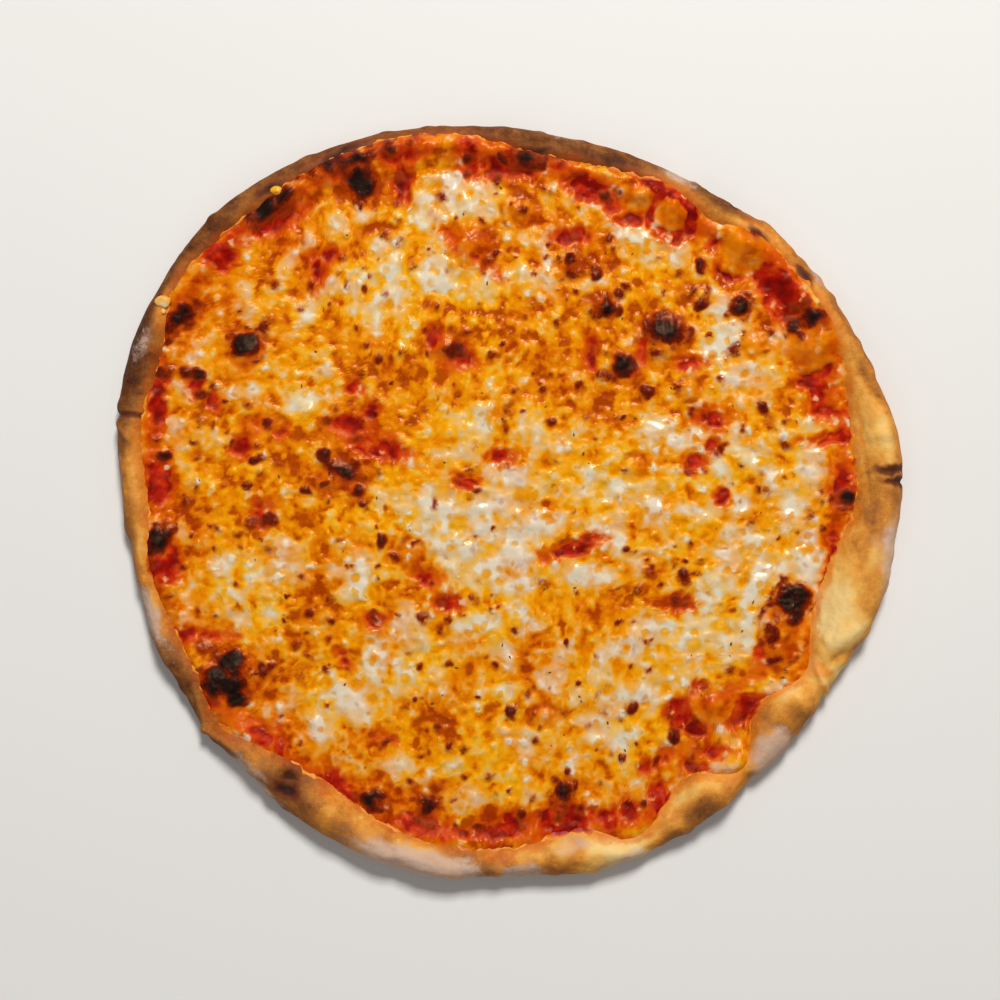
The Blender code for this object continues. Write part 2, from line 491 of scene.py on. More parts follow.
class Graph:
    """The nodes of one material."""

    def __init__(self, name: str) -> None:
        """Start a material without nodes.

        Args:
            name: the material's name.
        """
        self.material = bpy.data.materials.new(name)
        self.material.use_nodes = True
        self.tree = self.material.node_tree
        self.tree.nodes.clear()
        coordinates = self.tree.nodes.new("ShaderNodeTexCoord")
        self.place = Socket(self, coordinates.outputs["Object"])

    def node(self, kind: str, settings: dict, inputs: dict, output: int | str | None = 0) -> Socket | None:
        """Add a node.

        Args:
            kind: the node's type.
            settings: its properties, with a ramp's stops under "stops". They are set first.
            inputs: values or links of its sockets, by name or number.
            output: which output to hand back, or None for a node that has none.

        Returns:
            That output.
        """
        made = self.tree.nodes.new(kind)
        for label, setting in settings.items():
            if label == "stops":
                self.set_stops(made.color_ramp, setting)
            else:
                setattr(made, label, setting)
        for label, value in inputs.items():
            if isinstance(value, Socket):
                self.tree.links.new(value.link, made.inputs[label])
            else:
                made.inputs[label].default_value = value
        return None if output is None else Socket(self, made.outputs[output])

    def set_stops(self, ramp: bpy.types.ColorRamp, stops: Stops) -> None:
        """Give a colour ramp its stops.

        Args:
            ramp: a new ramp.
            stops: positions and colours, from low to high.
        """
        while len(ramp.elements) < len(stops):
            ramp.elements.new(1.0)
        for element, (position, colour) in zip(ramp.elements, stops):
            element.position = position
            element.color = colour

    def painted(self, label: str) -> Socket:
        """What is painted on the mesh under a label."""
        return self.node("ShaderNodeAttribute", {"attribute_name": label}, {}, "Fac")

    def noise(self, size: float, detail: float = 2.0, roughness: float = 0.5) -> Socket:
        """Noise of 0 to 1, whose lumps are about size millimetres across."""
        inputs = {"Vector": self.place, "Scale": 1 / (size * MM), "Detail": detail, "Roughness": roughness}
        return self.node("ShaderNodeTexNoise", {}, inputs)

    def wandering(self, size: float, reach: float) -> Socket:
        """Coordinates moved about by noise.

        Args:
            size: size of the noise in millimetres.
            reach: how far it moves them, in millimetres.

        Returns:
            The moved coordinates.
        """
        inputs = {"Vector": self.place, "Scale": 1 / (size * MM), "Detail": 1.0}
        noise = self.node("ShaderNodeTexNoise", {}, inputs, "Color")
        inputs = {0: noise, 1: (2 * reach * MM,) * 3, 2: self.place}
        return self.node("ShaderNodeVectorMath", {"operation": "MULTIPLY_ADD"}, inputs)

    def cells(self, size: float, place: Socket) -> tuple[Socket, Socket]:
        """Cells about size millimetres across.

        Args:
            size: width of a cell.
            place: coordinates to read them with.

        Returns:
            Distance from the middle of the nearest cell, as a share of size, and that cell's own chance.
        """
        settings = {"voronoi_dimensions": "2D", "feature": "SMOOTH_F1"}
        inputs = {"Vector": place, "Scale": 1 / (size * MM), "Smoothness": 0.2, "Randomness": 0.8}
        away = self.node("ShaderNodeTexVoronoi", settings, inputs)
        colour = Socket(self, away.link.node.outputs["Color"])
        return away, self.node("ShaderNodeSeparateColor", {}, {0: colour})

    def ramp(self, value: Socket, stops: Stops) -> Socket:
        """A colour read off a ramp."""
        return self.node("ShaderNodeValToRGB", {"stops": stops}, {0: value})

    def mix(self, share: Value, first: Socket | Colour, second: Socket | Colour) -> Socket:
        """Mix of two colours."""
        settings = {"data_type": "RGBA"}
        return self.node("ShaderNodeMix", settings, {0: share, 6: first, 7: second}, 2)

    def bump(self, height: Socket, depth: float, under: Socket | None = None) -> Socket:
        """Normals of a relief.

        Args:
            height: the relief, as a share of its depth.
            depth: its depth in millimetres.
            under: normals of a relief below it.

        Returns:
            The normals of both.
        """
        inputs = {"Height": height, "Distance": depth * MM, "Strength": 1.0}
        if under is not None:
            inputs["Normal"] = under
        return self.node("ShaderNodeBump", {}, inputs)

    def finish(self, varying: dict[str, Socket], constant: dict[str, object]) -> bpy.types.Material:
        """Close the material.

        Args:
            varying: links of the Principled shader's sockets.
            constant: fixed values of its sockets.

        Returns:
            The material.
        """
        shader = self.node("ShaderNodeBsdfPrincipled", {}, {**varying, **constant})
        self.node("ShaderNodeOutputMaterial", {}, {"Surface": shader}, None)
        return self.material


@dataclass(frozen=True)
class DoughFinish:
    """Baked dough: pale to dark brown, dusted with flour, soaked with oil along the toppings, charred.

    Sizes of its patterns and depths of its relief are in millimetres.
    """

    baked: Stops = stops(
        (0.0, 240, 206, 136), (0.14, 234, 178, 88), (0.28, 220, 150, 60), (0.42, 200, 126, 42),
        (0.56, 170, 104, 40), (0.72, 140, 83, 32), (0.86, 108, 57, 16), (1.0, 72, 32, 8),
    )
    flour: Colour = srgb(207, 178, 158)
    oil: Stops = stops((0.2, 222, 126, 22), (0.5, 192, 98, 14), (0.85, 138, 64, 8))
    stain: Colour = srgb(186, 66, 12)
    char: Stops = stops(
        (0.0, 160, 92, 38), (0.35, 112, 54, 22), (0.7, 60, 24, 16), (1.0, 28, 12, 11),
    )
    fine_size: float = 0.7
    crumb_size: float = 2.2
    broad_size: float = 6.5
    freckle_size: float = 5.0
    crumb_depth: float = 0.3
    fine_depth: float = 0.1
    flour_cover: float = 0.84
    oil_cover: float = 0.7
    stain_cover: float = 0.5
    roughness: float = 0.74

    def build(self) -> bpy.types.Material:
        """Make the material.

        Returns:
            The material.
        """
        graph = Graph("baked_dough")
        fine = graph.noise(self.fine_size, 2.0, 0.6)
        crumb = graph.noise(self.crumb_size, 2.0, 0.5)
        broad = graph.noise(self.broad_size, 3.0, 0.5)
        freckles = 1.0 - graph.cells(self.freckle_size, graph.wandering(2.5, 0.9))[0].eased(0.05, 0.3)
        mottle = (fine - 0.5) * 0.3 + (broad - 0.5) * 0.4 + (crumb - 0.5) * 0.25
        baked = graph.painted("bake")
        bake = baked + (mottle + freckles * (broad - 0.45) * 0.5) * baked.eased(-0.1, 0.5)
        colour = graph.ramp(bake, self.baked)
        dust = graph.painted("flour") + (crumb - 0.5) * 0.7 + (fine - 0.5) * 0.8 + (broad - 0.5) * 0.6
        colour = graph.mix(dust.eased(0.2, 1.0) * self.flour_cover, colour, self.flour)
        soak = (graph.painted("oil") + (broad - 0.5) * 1.0 + (crumb - 0.5) * 0.6).eased(0.25, 1.0)
        colour = graph.mix(soak * self.oil_cover, colour, graph.ramp(bake, self.oil))
        stain = graph.painted("stain") * (0.4 + crumb * 0.6 + broad * 0.6)
        colour = graph.mix(stain.eased(0.05, 1.1) * self.stain_cover, colour, self.stain)
        burnt = graph.painted("char") * (0.6 + crumb * 0.5 + broad * 0.5)
        colour = graph.mix(burnt.eased(0.03, 0.4), colour, graph.ramp(burnt, self.char))
        relief = graph.bump(fine, self.fine_depth, graph.bump(crumb, self.crumb_depth))
        varying = {"Base Color": colour, "Roughness": self.roughness - soak * 0.16, "Normal": relief}
        return graph.finish(varying, {"Specular IOR Level": SPECULAR})


@dataclass(frozen=True)
class SauceFinish:
    """Cooked tomato sauce: dark red pulp, thinning to orange oil, wet. Sizes and depths are millimetres."""

    pulp: Stops = stops(
        (0.0, 110, 0, 0), (0.22, 150, 8, 0), (0.45, 190, 50, 2), (0.7, 220, 106, 10), (1.0, 230, 146, 40),
    )
    char: Colour = srgb(34, 14, 12)
    fine_size: float = 1.0
    lump_size: float = 3.0
    fine_depth: float = 0.15
    lump_depth: float = 0.5
    roughness: float = 0.42

    def build(self) -> bpy.types.Material:
        """Make the material.

        Returns:
            The material.
        """
        graph = Graph("cooked_tomato")
        fine = graph.noise(self.fine_size, 3.0, 0.6)
        lumps = graph.noise(self.lump_size, 2.0, 0.5)
        tone = graph.painted("tone") + (fine - 0.5) * 0.3 + (lumps - 0.5) * 0.4
        burnt = (graph.painted("burn") + (lumps - 0.5) * 0.6).eased(0.3, 0.8)
        colour = graph.mix(burnt, graph.ramp(tone, self.pulp), self.char)
        relief = graph.bump(fine, self.fine_depth, graph.bump(lumps, self.lump_depth))
        constant = {"Roughness": self.roughness, "Specular IOR Level": SPECULAR}
        return graph.finish({"Base Color": colour, "Normal": relief}, constant)


@dataclass(frozen=True)
class CheeseFinish:
    """Melted cheese: brown oily hollows, orange and yellow oil, cream curd, tomato and burnt spots.

    Sizes of its patterns and depths of its relief are in millimetres.
    """

    golden: Stops = stops(
        (0.0, 180, 76, 0), (0.1, 204, 100, 0), (0.2, 226, 126, 0), (0.37, 236, 148, 0), (0.55, 240, 164, 8),
        (0.68, 238, 176, 46), (0.77, 234, 181, 86), (0.86, 231, 187, 118), (0.94, 226, 198, 146),
        (1.0, 224, 212, 184),
    )
    rosy: Stops = stops(
        (0.0, 158, 46, 0), (0.1, 178, 62, 0), (0.2, 196, 78, 0), (0.37, 216, 102, 0), (0.55, 226, 124, 14),
        (0.68, 228, 142, 52), (0.77, 230, 156, 90), (0.86, 228, 170, 120), (0.94, 230, 188, 148),
        (1.0, 230, 206, 180),
    )
    tomato: Stops = stops(
        (0.0, 104, 0, 0), (0.3, 146, 4, 0), (0.5, 180, 22, 0), (0.68, 204, 54, 2), (0.84, 216, 92, 16),
        (1.0, 226, 130, 70),
    )
    burn: Stops = stops(
        (0.0, 196, 92, 6), (0.25, 158, 52, 2), (0.45, 118, 26, 2), (0.65, 82, 18, 8), (0.85, 48, 17, 14),
        (1.0, 28, 12, 12),
    )
    olive: Colour = srgb(164, 116, 24)
    stain: Colour = srgb(208, 62, 2)
    fine_size: float = 1.3
    grain_size: float = 5.6
    swirl_size: float = 9.0
    wide_hole_size: float = 11.0
    small_hole_size: float = 6.4
    pip_size: float = 2.7
    grain_depth: float = 0.4
    hole_depth: float = 0.34
    pip_depth: float = 0.12
    fine_depth: float = 0.06
    roughness: float = 0.24
    curd_coat: float = 0.42

    def build(self) -> bpy.types.Material:
        """Make the material.

        Returns:
            The material.
        """
        graph = Graph("melted_cheese")
        fine = graph.noise(self.fine_size, 1.0, 0.5) - 0.5
        grain = graph.noise(self.grain_size, 1.0, 0.4) - 0.5
        swirl = graph.noise(self.swirl_size, 1.0, 0.4) - 0.5
        painted = graph.painted("milk")
        cream = painted.eased(0.58, 0.84)
        wide_away, wide_chance = graph.cells(self.wide_hole_size, graph.wandering(5.0, 2.4))
        small_away, small_chance = graph.cells(self.small_hole_size, graph.wandering(3.6, 1.6))
        wide = (wide_chance * 0.4 - 0.1 - wide_away).eased(-0.16, 0.12)
        small = (small_chance * 0.4 - 0.14 - small_away).eased(-0.16, 0.12)
        hole = wide.or_more(small) * cream
        smooth = graph.painted("smooth")
        rough = 1.0 - smooth * 0.6
        oily = 1.0 - painted.eased(0.35, 0.8)
        pip_away, _ = graph.cells(self.pip_size, graph.wandering(2.0, 0.5))
        pips = (1.0 - pip_away.eased(0.05, 0.5)) * swirl.eased(-0.25, 0.15)
        bead = (1.0 - small_away.eased(0.04, 0.4)) * small_chance.eased(0.85, 0.1) * (1.0 - cream) * rough
        milk = painted + (grain * (0.5 + oily * 1.1) + fine * (0.1 + oily * 0.2)) * rough + swirl * 0.4
        # Painted light and shade of the small pips: paler on their raised tops and darker between them.
        milk = milk + bead * 0.4 - hole * (0.14 + small_chance * 0.26) + (pips - 0.3) * rough * oily * 0.1
        rosy = (graph.painted("rosy") + swirl * 0.8 + grain * 0.3).clamped()
        shade = 0.1 + milk * 0.9
        colour = graph.mix(rosy, graph.ramp(shade, self.golden), graph.ramp(shade, self.rosy))
        colour = graph.mix(hole * (1.0 - hole) * 0.6, colour, self.olive)
        red = graph.ramp(0.4 + grain * 1.6 + swirl * 0.8 + fine * 0.3, self.tomato)
        bare = 1.0 - milk.eased(0.62, 0.85) * 0.85
        cover = graph.painted("tomato") + grain * 1.2 + fine * 0.3
        rough = rough * (1.0 - cover.eased(-0.6, 0.9) * 0.6)
        colour = graph.mix(cover.eased(-1.8, 0.2) * bare * 0.75, colour, self.stain)
        colour = graph.mix(cover.eased(-0.5, 0.9) * bare, colour, red)
        burnt = graph.painted("burn") * (1.0 + grain * 1.5 + fine * 0.8)
        colour = graph.mix(burnt.eased(0.04, 0.4), colour, graph.ramp(burnt, self.burn))
        relief = graph.bump(grain * (1.0 - cream * 0.3) * rough, self.grain_depth)
        relief = graph.bump(bead - hole * 0.4, self.hole_depth, relief)
        relief = graph.bump(pips * (1.0 - cream * 0.6) * rough, self.pip_depth, relief)
        relief = graph.bump(fine * (1.0 - cream * 0.5) * rough, self.fine_depth, relief)
        dullness = self.roughness + milk.clamped() * 0.08
        dullness = dullness + cover.eased(-1.2, 0.7) * 0.22 + burnt.clamped() * 0.25
        varying = {
            "Base Color": colour,
            "Roughness": dullness,
            "Coat Weight": cream * self.curd_coat,
            "Normal": relief,
        }
        constant = {
            "Specular IOR Level": SPECULAR,
            "Specular Tint": (1.0, 0.68, 0.4, 1.0),
            "Coat Roughness": 0.17,
            "Subsurface Weight": 0.2,
            "Subsurface Radius": (1.0, 0.5, 0.2),
            "Subsurface Scale": 2 * MM,
        }
        return graph.finish(varying, constant)


@dataclass(frozen=True)
class HerbFinish:
    """Dried herb: dull green-brown flecks."""

    leaf: Stops = stops((0.0, 80, 58, 28), (1.0, 132, 104, 56))

    def build(self) -> bpy.types.Material:
        """Make the material.

        Returns:
            The material.
        """
        graph = Graph("dried_herb")
        colour = graph.ramp(graph.noise(2.0, 2.0), self.leaf)
        return graph.finish({"Base Color": colour}, {"Roughness": 0.8, "Specular IOR Level": 0.1})


@dataclass(frozen=True)
class FloorFinish:
    """A plain pale matt floor."""

    paint: Colour = srgb(232, 230, 226)

    def build(self) -> bpy.types.Material:
        """Make the material."""
        return Graph("pale_floor").finish({}, {"Base Color": self.paint, "Roughness": 0.9})


# --- Layout of the toppings -------------------------------------------------------------------------


@dataclass(frozen=True)
class Mark:
    """One elliptical feature of the toppings: its middle, its size, and how far it is turned."""

    x: float
    y: float
    width: float
    length: float
    turn: float = 0.0

    def depth_inside(self, place: Array) -> Array:
        """Rough distance inside the ellipse.

        Args:
            place: points in millimetres.

        Returns:
            Distance in millimetres, negative outside the ellipse.
        """
        x, y = place[:, 0], place[:, 1]
        turn = np.radians(self.turn)
        along = (x - self.x) * np.cos(turn) + (y - self.y) * np.sin(turn)
        across = (y - self.y) * np.cos(turn) - (x - self.x) * np.sin(turn)
        reach = np.hypot(along / (0.5 * self.width), across / (0.5 * self.length))
        return (1 - reach) * 0.5 * min(self.width, self.length)


@dataclass(frozen=True)
class Dome(Mark):
    """A smooth swollen blister, with its own milk and rosiness, singed on top, and painted with shade along
    its lower side, away from the light, which is darker and redder than its paler upper side.
    """

    milk: float = 0.4
    rosy: float = 0.5
    # strength of the real singeing over the dome and of the painted shade along its lower border
    singe_and_shade: float = 0.0


def marks(*rows: tuple[float, ...]) -> tuple[Mark, ...]:
    """Marks from rows of middle, size and turn."""
    return tuple(Mark(*row) for row in rows)


def inside_any(group: tuple[Mark, ...], place: Array) -> Array:
    """Greatest depth inside any mark of a group.

    Args:
        group: the marks.
        place: points in millimetres.

    Returns:
        Depth in millimetres, negative outside them all.
    """
    deepest = np.full(len(place), -FAR)
    for mark in group:
        deepest = np.maximum(deepest, mark.depth_inside(place))
    return deepest


CHARRED = marks(
    (-59, 126.5, 10.5, 10.5), (-62, 135, 20, 3.5, 15), (-96, 117, 15, 6, 30), (-131, 72, 13, 6, 38),
    (-105, 63, 9, 9), (-65, 12, 8, 5, -35), (-60, 5, 4, 5), (6, 136, 10, 4), (60, 68, 12, 9, -15),
    (38, 77, 5, 5), (43, 54, 5, 6), (90, 77, 5, 6), (111.6, 70, 5, 6.5), (117.5, 72, 10, 7, 20),
    (-140, -16, 6, 11, -35), (-110, -63.5, 10, 10), (-116, -70, 12, 11), (-110, -72, 12, 8),
    (-108, -77, 7, 7), (-55, -117, 8, 6), (-33, -120, 5, 8), (20, -114, 5, 7), (111.6, -37.8, 13, 11),
    (112.5, -44.5, 6, 6), (133, 1, 5, 4),
)
SCORCHED = marks(
    (-76, 133, 16, 3.5, 5), (-45, 128, 5, 4), (-97, 69, 4.5, 8), (-53, 56, 4.5, 5), (-137, 51, 8, 5),
    (-126, 51, 8, 5, -20), (-122, 43, 7, 4.5), (-137, 18, 6, 5), (-100, 17, 6, 3, 10), (-74, 19, 6.5, 6),
    (-68, 13, 6, 4, -30), (-80, 4, 6, 3, -30), (-74, 7, 6, 3.5, 25), (-102, -8, 6, 4.5), (-95, -7, 6, 6),
    (-140, 25, 4, 3.5), (23, 95.5, 6, 6), (33, 91, 6, 5.5), (42, 82, 5, 5), (37.7, 77.5, 7, 6, 20),
    (45, 85, 4, 4), (71, 82.5, 4.5, 5.5), (74.5, 78, 5.5, 6, -40), (88, 60, 6, 6), (75, 93.5, 5, 6.5),
    (95.5, 105, 6, 3, -30), (99.7, 36.2, 3.5, 8, 45), (15, 32, 6, 4, 10), (-51, -15, 4.5, 5),
    (-46, -22, 4, 5), (-135, -37, 5, 4), (-121, -57, 8, 7), (-54, -119, 10, 7), (-14, -128, 6, 3),
    (4, -123, 4, 6), (27, -121, 4, 4), (68, -29, 5, 9), (55, -27, 4.5, 5), (64, -40, 9, 4), (50, -34, 4, 6),
    (102.8, -51.8, 5, 9), (112, -46, 9, 6), (64, -92, 4.5, 7), (123, -10, 4, 5), (44, 53, 10, 9),
    (38, 50, 7, 4), (53, 44, 6, 5), (37, 121, 5, 4), (-17, 136, 5, 5), (8, 134, 14, 7), (0, -83, 5, 5),
    (47, -81, 5, 4), (-23, 60, 9, 6),
)
TOASTED = marks(
    (-9, 96, 5, 12, -40), (104, -44, 5, 12), (104, -62, 8, 5), (119, 72, 16, 9), (37, 121, 6, 4),
    (-50, 82, 4, 4), (-139, 25, 4, 4), (87, 60, 6.5, 6.5), (71, 36, 5, 5), (102, 30, 6, 4, -50),
    (-71.7, -38.2, 5.5, 6), (-79.4, -43.7, 5.5, 5.5), (-70.6, -47, 5.5, 5), (-88, -45, 5, 5), (-97, -8, 5, 5),
    (-135, -37, 5, 4), (-120, -58, 8, 5), (0, -83, 6, 5), (48, -80, 5, 5), (64, -21, 4, 4), (65, -39, 10, 5),
    (50, -34, 5, 7), (36, -111, 5, 4), (-45, -22, 4, 6, 50), (34, 76, 9, 8), (25, 92, 12, 9), (57, 60, 9, 6),
    (46, 54, 10, 11), (-28, 121, 6, 5), (4, 115, 6, 6), (-43, 60, 5, 5), (-23, 60, 12, 8), (77, 84, 5, 7),
    (69, 87, 4, 4), (-30, 0, 4, 6), (-83, 76, 4, 3), (98, -83, 6, 5), (10, -94, 5, 4),
)
TOMATO = marks(
    (-62, 131, 14, 8), (-45, 137, 16, 5, 10), (-43, 126, 6, 11), (-93, 112, 17, 8, 20), (-115, 98, 10, 10),
    (-110, 103, 8, 4, 40), (-17, 136, 7, 12), (1, 134, 24, 10), (17, 132, 7, 5), (33, 123, 24, 7, -28),
    (57.5, 122.5, 15, 6, -28), (48, 112, 7, 3), (64, 110, 6, 2.5), (-16, 99, 4, 15, 48), (-77, 92, 4, 9),
    (-73, 98, 6, 3), (-31, 65, 5, 7), (-20, 58, 9, 8), (23, 105, 11, 6), (80, 103, 5, 5), (85, 91, 6, 4, -30),
    (106.3, 82, 24, 12, -52), (100, 90, 8, 8), (119, 50, 10, 5, 30), (123, 53, 6, 5), (62.8, 113.2, 20, 20),
    (121, 41, 5, 12), (130, 34, 13, 4, -20), (128, 26, 11, 3, 10), (130, 6, 7, 14), (51, 59, 5, 14, -20),
    (70, 55, 7, 3), (78, 33, 9, 5, -20), (80, 22, 5, 4), (72, 16, 7, 6), (83, 3, 3, 4), (31, 59, 3, 7),
    (-4, 18, 8, 4), (-17, 8, 7, 4), (-62, 45, 3, 4), (-65, 31, 10, 5), (-52, 21, 18, 6, -15), (-55, 35, 4, 6),
    (-107, 22, 6, 7), (-91, 28, 4, 5), (-118, 40, 4, 6), (-140, 38, 5, 15), (-139, 9, 9, 18), (-98, -5, 7, 9),
    (-137, -24, 12, 12), (-34, -30, 8, 6), (-26, -40, 8, 5), (-54, -46, 7, 4), (-66, -62, 4, 6, 30),
    (-50, -92, 6, 3), (-127, -52, 4, 4), (-117, -52, 9, 2.5), (-120, -77, 6, 5), (-98, -92, 8, 3, -28),
    (-91, -100, 3, 11), (-66, -113, 12, 4, -35), (-36, -127, 17, 8), (-15, -130, 15, 3),
    (-1, -128, 12, 6, 35), (22, -125, 20, 11), (38, -125, 7, 6), (47, -121, 4, 4), (22, -18, 15, 4, 15),
    (65, -40, 11, 5), (74, -75, 6, 8), (66, -84, 8, 11), (72, -89, 9, 6), (58, -101, 8, 4, 30),
    (81, -82, 7, 5), (91, -82, 15, 7, 20), (78, -98, 5, 2.5), (70, -104, 6, 3), (58, -116, 6, 10),
    (127, -17, 3.5, 13), (126, -27, 3, 3), (125, -33, 3, 3), (-125, 45, 7, 8), (-140, 46, 8, 6),
    (104, -58, 10, 6),
)
CURD = marks(
    (-25, 122, 32, 14), (-14, 114, 14, 12), (-34, 113, 12, 7), (-26, 90, 21, 16), (-8, 84, 9, 10),
    (-48, 90, 9, 18), (-53, 102, 7, 9), (-44, 81, 7, 8), (-58, 76, 11, 7), (-55, 71, 5, 8), (-68, 112, 7, 6),
    (-58, 113, 6, 4), (-80, 103, 3, 6), (-89, 92, 5, 10), (-104, 85, 6, 6), (-72, 86, 5, 4), (-80, 74, 6, 6),
    (-103, 74, 4, 4), (-73, 58, 4, 4), (-128, 43, 7, 7), (-104, 43, 8, 4), (-81, 40, 14, 9), (-133, 30, 6, 6),
    (-77, 51, 10, 3.5), (-111, 55, 5, 3), (-13, 29, 9, 14), (-22, 34, 10, 4), (-20, 19, 17, 5),
    (4, 29, 5, 10), (0, 9, 18, 9), (-6, 13, 8, 10), (-30, -6, 17, 26), (-22, -20, 14, 12), (-42, 0, 9, 6),
    (10, 27, 6, 14), (12, 6, 14, 10), (60, 104, 22, 13), (45, 108, 9, 8), (53, 98, 12, 6), (66, 98, 9, 10),
    (5, 105, 14, 6), (14, 90, 7, 13), (2, 90, 7, 4), (15, 117, 4, 8), (85, 72, 10, 16, 20), (82, 61, 14, 4),
    (97, 50, 20, 9), (107, 62, 10, 5), (91, 46, 6, 12), (88, 65, 14, 5), (55, 30, 11, 13),
    (66, 25, 16, 5, -30), (75, 27, 6, 7), (88, 24, 5, 8), (95, 18, 9, 7), (118, 14, 10, 20), (101, 12, 7, 9),
    (118, 30, 9, 6), (34, 28, 4, 3), (30, 12, 7, 6), (45, 6, 22, 8), (55, -1, 8, 14), (75, -2, 16, 7),
    (90, 0, 7, 9), (110, 0, 10, 8), (84, 12, 5, 18, 30), (-114, -30, 5, 16), (-107, -44, 7, 18, 25),
    (-95, -27, 16, 4, 12), (-97, -43, 7, 10), (-92, -15, 7, 7), (-62, -32, 9, 17, -30), (-70, -27, 8, 5),
    (-54, -61, 9, 20), (-66, -78, 18, 12, 20), (-74, -90, 10, 8), (-60, -84, 9, 10), (-41, -47, 8, 13),
    (-36, -56, 6, 8), (-43, -68, 5, 9), (-4, -30, 28, 14), (-12, -48, 20, 10), (-4, -58, 10, 10),
    (3, -42, 7, 16), (-22, -12, 10, 20), (-44, -104, 11, 5), (-25, -104, 7, 4), (-14, -117, 8, 5),
    (-21, -119, 4, 5), (10, -8, 16, 8), (2, -20, 12, 16), (32, -29, 22, 7), (42, -12, 6, 16), (30, -10, 9, 6),
    (55, -48, 20, 11), (46, -57, 12, 7), (74, -46, 12, 24), (84, -54, 14, 6), (94, -45, 8, 24),
    (85, -20, 20, 6), (90, -12, 14, 6), (80, -31, 12, 8), (118, -28, 9, 32), (112, -24, 8, 12),
    (130, -53, 11, 6), (107, -73, 7, 5), (35, -66, 8, 16), (48, -75, 22, 8), (41, -92, 20, 9),
    (15, -70, 11, 12), (24, -76, 8, 6), (6, -90, 10, 5), (30, -86, 14, 4), (48, -106, 5, 11, 20),
    (66, -115, 4, 9, -35), (98, -28, 8, 16), (20, -60, 10, 5), (-3, -74, 8, 4), (-5, 1, 18, 11),
    (-12, -6, 10, 12), (4, -12, 18, 9),
)
DOMES = tuple(
    Dome(*row)
    for row in (
        (118.5, 62, 22, 21, 0, 0.36, 1.0, 0.2), (91.3, 99.5, 18, 22, -35, 0.5, 0.9, 0),
        (106, -58.5, 13, 15, 20, 0.1, 1.3, 0.34), (79, -80, 18, 15, 0, 0.22, 1.3, 0.14),
        (60, 61, 14, 12, 0, 0.44, 0.6, 0.06), (62.8, 113.2, 14, 14, 0, 0.34, 1.1, 0.1),
        (49, 121, 13, 11, 0, 0.42, 0.9, 0), (-14, 103, 15, 12, 0, 0.26, 0.95, 0.08),
    )
)
STAINED = marks(
    (-105, -86, 36, 8, -27), (-122, -76, 8, 8), (-83, -105, 20, 6, -35), (-60, -121, 26, 5, -20),
    (-20, -132, 40, 4), (20, -131, 34, 5, 8), (50, -124, 20, 6, 20), (88, -72, 22, 6, 30),
    (96, -66, 14, 8, 40), (72, -97, 16, 10), (131, 20, 6, 30), (126, 44, 6, 16, 20), (104, 96, 10, 16, 40),
    (74, 108, 18, 8, -30), (30, 128, 30, 6, -24), (-8, 137, 30, 5), (-76, 126, 22, 6, 30),
    (-108, 106, 24, 6, 42), (-126, 82, 20, 5, 58), (-139, 60, 20, 5, 75), (-142, 20, 6, 30),
    (-140, -30, 6, 26), (-130, -60, 6, 18, 20), (-100, 30, 18, 8), (-56, 26, 22, 10), (-20, 56, 20, 10),
)
OILY_BUBBLES = marks(
    (-16, 102, 20, 20), (107, -50, 20, 26), (79, -80, 22, 18), (3, 115, 15, 14), (60, 66, 22, 20),
    (-105, 60, 14, 14), (34, 77, 14, 12), (-110, -68, 20, 20), (56, 132, 16, 10), (24, 93, 14, 12),
    (-57, 130, 16, 16), (48, 14, 10, 10), (-72, 8, 16, 12), (12, -84, 12, 10), (-40, -20, 10, 12),
    (96, 62, 10, 10), (70, 45, 10, 10), (-28, 62, 14, 12),
)
MILKY = marks(
    (-2, -14, 48, 34), (-24, -2, 28, 30), (20, 20, 22, 20), (104, -30, 44, 60, -25), (119, 2, 22, 28),
    (62, -18, 24, 22), (68, -60, 44, 26), (98, -56, 26, 26), (42, -84, 34, 26), (-60, -78, 40, 26),
    (-38, -60, 22, 26), (-84, -80, 24, 22), (80, -104, 20, 14), (2, -102, 30, 16), (38, -118, 14, 12),
    (42, 2, 34, 26), (84, 58, 34, 22), (-52, 84, 28, 26),
)
OILY = marks(
    (-58, 118, 40, 26), (-40, 60, 70, 36), (-78, 20, 60, 36), (-100, 2, 30, 30), (4, 108, 54, 30),
    (20, 66, 80, 30), (-52, 30, 40, 24), (-76, -8, 40, 22), (-32, -42, 24, 16), (-100, 100, 40, 30),
    (96, 98, 30, 24), (44, 44, 40, 26), (-20, -88, 40, 20), (18, -66, 22, 20), (118, -62, 26, 26),
    (40, -40, 30, 14), (-74, -42, 22, 20), (60, 84, 30, 26), (-46, 116, 20, 26),
)


@dataclass(frozen=True)
class Scatter:
    """Small round features strewn at random over the toppings."""

    seed: int
    count: int
    least: float
    most: float
    outer: float = 132.0

    def spots(self) -> Array:
        """Draw the features. Most are near the least diameter.

        Returns:
            Rows of middle and diameter in millimetres, and one chance of 0 to 1.
        """
        source = np.random.default_rng(self.seed)
        radius = np.sqrt(source.uniform(0, 1, self.count)) * self.outer
        angle = source.uniform(0, TURN, self.count)
        size = self.least + (self.most - self.least) * source.random(self.count) ** 2
        return np.column_stack((polar(angle, radius, size), source.random(self.count)))

    def discs(self, place: Array, full: float, bare: float) -> Iterator[tuple[Array, float]]:
        """Each spot's soft disc, with its chance.

        Args:
            place: points in millimetres.
            full: share of the spot's radius up to which the disc is 1.
            bare: share of it from which the disc is 0.

        Yields:
            The disc at every point, and the spot's chance.
        """
        for spot_x, spot_y, size, chance in self.spots():
            away = np.hypot(place[:, 0] - spot_x, place[:, 1] - spot_y)
            yield 1 - ease(away / (0.5 * size), full, bare), chance


